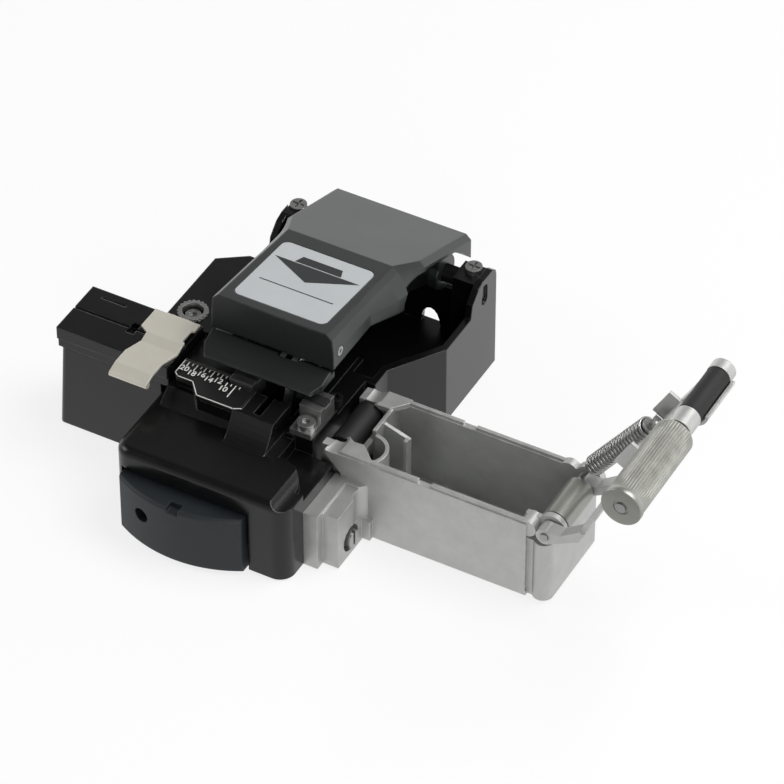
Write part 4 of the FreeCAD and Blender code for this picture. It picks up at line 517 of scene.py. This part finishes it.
def joined(name, meshes, material):
    """One mesh from several."""
    shape = bmesh.new()
    for mesh in meshes:
        shape.from_mesh(mesh)
    for face in shape.faces:
        face.material_index = 0
    result = bpy.data.meshes.new(name)
    shape.to_mesh(result)
    shape.free()
    result.materials.append(material)
    return result


class CLEAVER_OT_scale_marks(Operator):
    """Print the millimetre marks and numerals on the scale plate, and a pale line along its front edge that paints
    the highlight of its rim
    """
    bl_idname = "cleaver.scale_marks"
    bl_label = "Scale marks"

    def execute(self, context):
        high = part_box("scale_plate")[1]
        blade_x = sum(c.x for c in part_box("blade_wheel")) / 2
        upper_y = high.y - UPPER_BACK
        step_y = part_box("lower_bed_left")[0].y - STEP_BACK
        left = blade_x - FAR_READING * MM
        rows = [mark_row(context, name, left + start * MM, back_y, length, step * MM, count)
                for name, start, back_y, length, step, count in (
                    ("short_marks", 1, upper_y, SHORT_MARK, 2, 5),
                    ("middle_marks", 0, upper_y, MIDDLE_MARK, 4, 3),
                    ("long_marks", 2, upper_y, LONG_MARK, 4, 2),
                    ("short_marks_near", NEAR_READING + 1, step_y, SHORT_MARK, 2, 2),
                    ("middle_mark_near", NEAR_READING, step_y, MIDDLE_MARK, 1, 1),
                    ("long_mark_near", NEAR_READING + 2, step_y, LAST_MARK, 1, 1))]
        for i in range(5):
            y = upper_y - NUMERAL_DROPS[i % 2] * MM
            text = str(FAR_READING - 2 * i)
            rows.append(numeral(context, text, left + 2 * i * MM, y, high.z))
        rows.append(numeral(context, str(NEAR_READING), left + NEAR_READING * MM,
                            step_y - NUMERAL_DROPS[0] * MM, high.z))
        # the pale rim line is a painted highlight, printed along with the marks
        rows.append(mesh_from("scale_painted_highlight", lambda shape: self.rim(context, shape)))
        marks = joined("scale_print_and_highlight", rows, finish(screen_print))
        new_piece("scale_print_and_highlight", marks, finish(screen_print), "base")
        return {"FINISHED"}

    def rim(self, context, shape):
        """A pale line along the plate's front edge, stepped like its plan: a painted highlight where its rim
        catches the light.
        """
        sizes = context.scene.cleaver_sizes
        low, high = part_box("scale_plate")
        step_y = high.y - 5.5 * MM
        line = [(low.x + HIGHLIGHT_INSET, high.y - 0.6 * MM), (low.x + HIGHLIGHT_INSET, high.y - 4.7 * MM),
                (low.x + 1.2 * MM, step_y), (low.x + 4.8 * MM, step_y),
                (low.x + 7.6 * MM, low.y + HIGHLIGHT_INSET), (high.x - 1.7 * MM, low.y + HIGHLIGHT_INSET),
                (high.x - HIGHLIGHT_INSET, low.y + 1.0 * MM)]
        half = sizes.rim_width / 2
        for (x0, y0), (x1, y1) in zip(line, line[1:]):
            length = math.hypot(x1 - x0, y1 - y0)
            u, v = (x1 - x0) / length * half, (y1 - y0) / length * half
            corners = [(x0 - u + v, y0 - v - u), (x1 + u + v, y1 + v - u),
                       (x1 + u - v, y1 + v + u), (x0 - u - v, y0 - v + u)]
            add_prism(shape, corners, high.z - HIGHLIGHT_SUNK, high.z + sizes.mark_height)


# ---------------------------------------------------------------- springs

def coil_tree(tree, inputs):
    """A helix of round wire about Z, its first end at the origin."""
    turn = add_node(tree, "GeometryNodeCurveSpiral", {"Resolution": 24},
                    {"Rotations": inputs["Turns"], "Start Radius": inputs["Radius"],
                     "End Radius": inputs["Radius"], "Height": inputs["Height"]})
    wire = add_node(tree, "GeometryNodeCurvePrimitiveCircle", {"Resolution": 10},
                    {"Radius": maths(tree, "MULTIPLY", inputs["Wire"], 0.5)})
    return add_node(tree, "GeometryNodeCurveToMesh", {"Fill Caps": True},
                    {"Curve": turn.outputs[0], "Profile Curve": wire.outputs[0]}).outputs[0]


def coil(name, start, end, diameter, wire, turns):
    """A spring's mesh between the middles of its two ends."""
    axis = end - start
    values = {"Turns": float(turns), "Radius": (diameter - wire) / 2,
              "Height": axis.length, "Wire": wire}
    mesh = grown(name, coil_tree, values, finish(spring_wire))
    turn = axis.to_track_quat("Z", "Y").to_matrix().to_4x4()
    mesh.transform(Matrix.Translation(start) @ turn)
    smooth(mesh, 60)
    return mesh


def opened(point):
    """Where a point of the closed lid lies with the lid open."""
    hinge = joint("lid_hinge")
    pivot = Vector(hinge["pos_m"])
    angle = math.radians(hinge["range_deg"][1])
    return pivot + Matrix.Rotation(angle, 3, "Y") @ (Vector(point) - pivot)


# Middles of the spring's ends on the closed lid, from the lid's pin: towards -X, and up
SPRING_FAR = (26.0 * MM, 0.8 * MM)
SPRING_NEAR = (6.4 * MM, -1.3 * MM)


class CLEAVER_OT_lid_spring(Operator):
    """Wind the lid's tension spring"""
    bl_idname = "cleaver.lid_spring"
    bl_label = "Lid spring"

    def execute(self, context):
        sizes = context.scene.cleaver_sizes
        y = sum(c.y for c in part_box("lid_spring")) / 2
        pivot = Vector(joint("lid_hinge")["pos_m"])
        far, near = (opened((pivot.x - along, y, pivot.z + up))
                     for along, up in (SPRING_FAR, SPRING_NEAR))
        mesh = coil("lid_spring_coil", near, far, sizes.lid_coil, sizes.lid_wire,
                    sizes.lid_turns)
        new_piece("lid_spring_coil", mesh, finish(spring_wire), "lid",
                  ["lid_spring"])
        return {"FINISHED"}


# ---------------------------------------------------------------- feed knob

def flute_tree(tree, inputs):
    """A fluted barrel about Z: a fine cylinder whose radius follows a rule of its angle."""
    barrel = add_node(tree, "GeometryNodeMeshCylinder",
                      {"fill_type": "NONE", "Side Segments": 14},
                      {"Vertices": inputs["Corners"], "Radius": inputs["Radius"],
                       "Depth": inputs["Length"]})
    place = add_node(tree, "GeometryNodeInputPosition")
    parts = add_node(tree, "ShaderNodeSeparateXYZ", {}, {"Vector": place.outputs[0]})
    angle = maths(tree, "ARCTAN2", parts.outputs["Y"], parts.outputs["X"])
    ridge = maths(tree, "COSINE", maths(tree, "MULTIPLY", angle, inputs["Flutes"]))
    sharp = add_node(tree, "ShaderNodeMapRange", {"From Min": -0.75, "From Max": 0.75},
                     {"Value": ridge})
    along = maths(tree, "ABSOLUTE", parts.outputs["Z"])
    half = maths(tree, "MULTIPLY", inputs["Length"], 0.5)
    fade = add_node(tree, "ShaderNodeMapRange", {"To Min": 1.0, "To Max": 0.0},
                    {"Value": along, "From Min": maths(tree, "MULTIPLY", half, 0.9),
                     "From Max": half})
    groove = maths(tree, "MULTIPLY", sharp.outputs[0], fade.outputs[0])
    depth = maths(tree, "MULTIPLY", groove, inputs["Depth"])
    scale = maths(tree, "SUBTRACT", 1.0, maths(tree, "DIVIDE", depth, inputs["Radius"]))
    flat = add_node(tree, "ShaderNodeCombineXYZ", {"Z": 1.0}, {"X": scale, "Y": scale})
    moved = add_node(tree, "ShaderNodeVectorMath", {"operation": "MULTIPLY"},
                     {0: place.outputs[0], 1: flat.outputs[0]})
    return add_node(tree, "GeometryNodeSetPosition", {},
                    {"Geometry": barrel.outputs["Mesh"],
                     "Position": moved.outputs[0]}).outputs[0]


def turned_shape(shape, profile, segments=96):
    """Turns a profile of (radius, height) pairs about Z."""
    rings = []
    for radius, height in profile:
        if radius < 1e-7:
            rings.append([shape.verts.new((0, 0, height))])
            continue
        rings.append([shape.verts.new((radius * math.cos(2 * math.pi * i / segments),
                                       radius * math.sin(2 * math.pi * i / segments), height))
                      for i in range(segments)])
    for lower, upper in zip(rings, rings[1:]):
        for i in range(segments):
            j = (i + 1) % segments
            corners = [lower[i % len(lower)], lower[j % len(lower)],
                       upper[j % len(upper)], upper[i % len(upper)]]
            unique = list(dict.fromkeys(corners))
            if len(unique) > 2:
                shape.faces.new(unique)


BARREL_STEP = 0.2 * MM       # the fluted barrel's radius is this much less than its disc's
DISC_WIDTH = 1.7 * MM
KNOB_TAIL = 0.9 * MM         # plain length behind the flutes
DISH_RADIUS = 1.5 * MM       # shallow dish round the screw in the disc's face
DISH_DEPTH = 0.25 * MM
DISC_EDGE = 0.35 * MM        # rounding of the disc's two rims
CORNERS_PER_FLUTE = 8


class CLEAVER_OT_feed_knob(Operator):
    """Turn and flute the feed knob"""
    bl_idname = "cleaver.feed_knob"
    bl_label = "Feed knob"

    def execute(self, context):
        sizes = context.scene.cleaver_sizes
        low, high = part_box("feed_knob")
        middle = (low + high) / 2
        disc_r = (high.x - low.x) / 2
        radius = disc_r - BARREL_STEP
        barrel = (high.y - low.y) - DISC_WIDTH - KNOB_TAIL
        values = {"Corners": sizes.knob_flutes * CORNERS_PER_FLUTE, "Radius": radius,
                  "Length": barrel, "Flutes": float(sizes.knob_flutes),
                  "Depth": sizes.flute_depth}
        fluted = grown("fluted_barrel", flute_tree, values, finish(turned_alloy))
        front = -(high.y - low.y) / 2
        back = front + DISC_WIDTH + barrel
        fluted.transform(Matrix.Translation((0, 0, front + DISC_WIDTH + barrel / 2)))

        def ends(shape):
            """The disc in front of the barrel, and the plain tail behind it."""
            turned_shape(shape, [
                (0, front + DISH_DEPTH), (DISH_RADIUS, front + DISH_DEPTH),
                (DISH_RADIUS + 0.1 * MM, front), (disc_r - DISC_EDGE, front),
                (disc_r - 0.1 * MM, front + 0.1 * MM), (disc_r, front + DISC_EDGE),
                (disc_r, front + DISC_WIDTH - DISC_EDGE),
                (disc_r - 0.1 * MM, front + DISC_WIDTH - 0.12 * MM),
                (disc_r - DISC_EDGE, front + DISC_WIDTH),
                (radius - 0.3 * MM, front + DISC_WIDTH + 0.02 * MM)])
            turned_shape(shape, [(radius, back), (radius - 0.1 * MM, back + 0.25 * MM),
                                 (radius - 0.8 * MM, -front), (1.2 * MM, -front), (0, -front)])

        body = mesh_from("knob_ends", ends)
        mesh = joined("fluted_knob", [fluted, body], finish(turned_alloy))
        mesh.transform(Matrix.Translation(middle) @ Matrix.Rotation(math.radians(-90), 4, "X"))
        smooth(mesh, 40)
        new_piece("fluted_knob", mesh, finish(turned_alloy), "feed_roller",
                  ["feed_knob"])
        return {"FINISHED"}


# ---------------------------------------------------------------- label

FILM = 0.3 * MM              # thickness of the label
ARROW_HALF = 0.46            # shares of the label's width
BAR_HALF = 0.25
RULE_HALF = 0.4
ARROW_BACK = 0.24            # shares of the label's length, up its slope from the middle
ARROW_LENGTH = 0.24
RULE_DOWN = 0.16
BAR_TAPER = 0.86
BAR_EDGES = (0.3 * MM, 2.6 * MM)     # the bar's two edges above the arrow
RULE_WIDTH = 0.26 * MM


class CLEAVER_OT_label(Operator):
    """Print the press mark and a fine rule on the lever's silver label"""
    bl_idname = "cleaver.label"
    bl_label = "Lever label"

    def execute(self, context):
        low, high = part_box("label_plate")
        sizes = context.scene.cleaver_sizes
        width = high.x - low.x
        slope = math.atan2(high.z - low.z - FILM, high.y - low.y)
        length = (high.y - low.y) / math.cos(slope)
        place = (Matrix.Translation((low + high) / 2) @ Matrix.Rotation(-slope, 4, "X")
                 @ Matrix.Translation((0, 0, FILM / 2)))
        ink = sizes.mark_height

        def press_mark(shape):
            """A plain broad arrow, with a bar behind it, that shows where to press."""
            half = width * ARROW_HALF
            back = length * ARROW_BACK
            add_prism(shape, [(-half, back), (half, back), (0, back - length * ARROW_LENGTH)],
                      0, ink, place)
            bar = width * BAR_HALF
            near, far = (back + edge for edge in BAR_EDGES)
            add_prism(shape, [(-bar, near), (bar, near), (bar * BAR_TAPER, far),
                              (-bar * BAR_TAPER, far)], 0, ink, place)

        def rule(shape):
            """A fine line below the press mark."""
            half = width * RULE_HALF
            y = -length * RULE_DOWN
            add_prism(shape, [(-half, y - RULE_WIDTH / 2), (half, y - RULE_WIDTH / 2),
                              (half, y + RULE_WIDTH / 2), (-half, y + RULE_WIDTH / 2)],
                      0, ink, place)

        meshes = [mesh_from("ink", build) for build in (press_mark, rule)]
        ink_mesh = joined("label_print", meshes, finish(label_ink))
        new_piece("label_print", ink_mesh, finish(label_ink), "lever")
        return {"FINISHED"}


# ---------------------------------------------------------------- stage

LAMPS = (
    # name, place in metres, side in metres, power in watts
    ("overhead_softbox", (0.35, 0.15, 0.70), 0.5, 5.0),
    ("left_softbox", (-0.75, -0.35, 0.55), 0.5, 2.0),
    ("front_fill", (0.45, -0.75, 0.35), 0.5, 2.2),
)
LAMP_AIM = (0.02, 0, 0.02)
FLOOR_HALF = 1.5             # half the side of the floor, in metres
FLOOR_GLOW = 0.8             # share of its own light in what the camera sees of the floor
# What reflections of the floor show, by the place's Y in metres
FLOOR_REFLECTION = {"From Min": -0.2, "From Max": 0.15, "To Min": 0.34, "To Max": 1.3}
# Strength of the sky, as a product of these two, by the direction's Z and Y
SKY_HEIGHT = {"From Min": 0.05, "From Max": 0.66, "To Min": 1.6, "To Max": 0.16}
SKY_DEPTH = {"From Min": -0.6, "From Max": 0.7, "To Min": 0.3, "To Max": 1.0}
SENSOR_WIDTH = 36            # millimetres
FOCAL_LENGTH = 226.68        # millimetres
CAMERA_PLACE = (0.38263, -0.65647, 0.70245)
CAMERA_BACK = (0.3559, -0.6489, 0.6725)      # from what the camera looks at, towards it


class CLEAVER_OT_stage(Operator):
    """Set the floor, soft lamps and the camera"""
    bl_idname = "cleaver.stage"
    bl_label = "Stage"

    def execute(self, context):
        self.floor(context)
        self.sky(context)
        for lamp in LAMPS:
            self.lamp(context, *lamp)
        self.camera(context)
        context.scene.view_settings.view_transform = "Standard"
        return {"FINISHED"}

    def floor(self, context):
        """A wide pale floor that keeps the shadow and glows in what reflects it."""
        material = bpy.data.materials.new("matt_studio_paper")
        material.use_nodes = True
        tree = material.node_tree
        tree.nodes.clear()
        tint = tuple(context.scene.cleaver_colours.floor) + (1,)
        paper = add_node(tree, "ShaderNodeBsdfDiffuse", {"Color": tint})
        ray = add_node(tree, "ShaderNodeLightPath")
        place = add_node(tree, "ShaderNodeNewGeometry")
        parts = add_node(tree, "ShaderNodeSeparateXYZ", {}, {0: place.outputs["Position"]})
        backdrop = add_node(tree, "ShaderNodeMapRange", FLOOR_REFLECTION,
                            {"Value": parts.outputs["Y"]})
        bright = add_node(tree, "ShaderNodeMix", {2: 1.0},
                          {0: ray.outputs["Is Glossy Ray"], 3: backdrop.outputs[0]})
        glow = add_node(tree, "ShaderNodeEmission", {"Color": (1, 1, 1, 1)},
                        {"Strength": bright.outputs[0]})
        seen = maths(tree, "MULTIPLY", ray.outputs["Is Camera Ray"], FLOOR_GLOW)
        share = maths(tree, "MAXIMUM", seen, ray.outputs["Is Glossy Ray"])
        mixed = add_node(tree, "ShaderNodeMixShader", {},
                         {0: share, 1: paper.outputs[0], 2: glow.outputs[0]})
        add_node(tree, "ShaderNodeOutputMaterial", {}, {"Surface": mixed.outputs[0]})

        def sheet(shape):
            half = FLOOR_HALF
            shape.faces.new([shape.verts.new((x, y, 0)) for x, y in
                             ((-half, -half), (half, -half), (half, half), (-half, half))])

        mesh = mesh_from("floor", sheet)
        mesh.materials.append(material)
        floor = bpy.data.objects.new("floor", mesh)
        context.scene.collection.objects.link(floor)

    def sky(self, context):
        """A plain sky, brightest near the horizon behind the cleaver."""
        world = bpy.data.worlds.new("studio")
        world.use_nodes = True
        tree = world.node_tree
        place = add_node(tree, "ShaderNodeTexCoord")
        parts = add_node(tree, "ShaderNodeSeparateXYZ", {}, {0: place.outputs["Generated"]})
        height = add_node(tree, "ShaderNodeMapRange", SKY_HEIGHT, {"Value": parts.outputs["Z"]})
        depth = add_node(tree, "ShaderNodeMapRange", SKY_DEPTH, {"Value": parts.outputs["Y"]})
        strength = maths(tree, "MULTIPLY", height.outputs[0], depth.outputs[0])
        sky = tree.nodes["Background"]
        sky.inputs["Color"].default_value = (1, 1, 1, 1)
        tree.links.new(strength, sky.inputs["Strength"])
        context.scene.world = world

    def lamp(self, context, name, place, size, power):
        """A square soft lamp aimed at the object's middle."""
        light = bpy.data.lights.new(name, "AREA")
        light.size = size
        light.energy = power
        lamp = bpy.data.objects.new(name, light)
        aim = Vector(LAMP_AIM) - Vector(place)
        lamp.location = place
        lamp.rotation_euler = aim.to_track_quat("-Z", "Y").to_euler()
        context.scene.collection.objects.link(lamp)

    def camera(self, context):
        """A long lens from the front right, above."""
        lens = bpy.data.cameras.new("camera")
        lens.sensor_width = SENSOR_WIDTH
        lens.lens = FOCAL_LENGTH
        lens.clip_end = 20
        camera = bpy.data.objects.new("camera", lens)
        camera.location = CAMERA_PLACE
        camera.rotation_euler = (-Vector(CAMERA_BACK)).to_track_quat("-Z", "Y").to_euler()
        context.scene.collection.objects.link(camera)
        context.scene.camera = camera


# ---------------------------------------------------------------- add-on

OPERATORS = (
    CLEAVER_OT_finish_parts,
    CLEAVER_OT_scale_marks,
    CLEAVER_OT_lid_spring,
    CLEAVER_OT_feed_knob,
    CLEAVER_OT_label,
    CLEAVER_OT_stage,
)


class CLEAVER_PT_pieces(Panel):
    """Lists the cleaver's sizes, colours and pieces"""
    bl_label = "Fibre cleaver"
    bl_idname = "CLEAVER_PT_pieces"
    bl_space_type = "VIEW_3D"
    bl_region_type = "UI"
    bl_category = "Cleaver"

    def draw(self, context):
        for group in (context.scene.cleaver_sizes, context.scene.cleaver_colours):
            for name in group.bl_rna.properties.keys():
                if name not in ("rna_type", "name"):
                    self.layout.prop(group, name)
        for operator in OPERATORS:
            self.layout.operator(operator.bl_idname)


CLASSES = (CleaverSizes, CleaverColours) + OPERATORS + (CLEAVER_PT_pieces,)


def register():
    for each in CLASSES:
        bpy.utils.register_class(each)
    bpy.types.Scene.cleaver_sizes = PointerProperty(type=CleaverSizes)
    bpy.types.Scene.cleaver_colours = PointerProperty(type=CleaverColours)


def unregister():
    del bpy.types.Scene.cleaver_colours
    del bpy.types.Scene.cleaver_sizes
    for each in reversed(CLASSES):
        bpy.utils.unregister_class(each)


def main():
    """Builds every piece in order."""
    register()
    for operator in OPERATORS:
        group, name = operator.bl_idname.split(".")
        getattr(getattr(bpy.ops, group), name)()


if __name__ == "__main__":
    main()
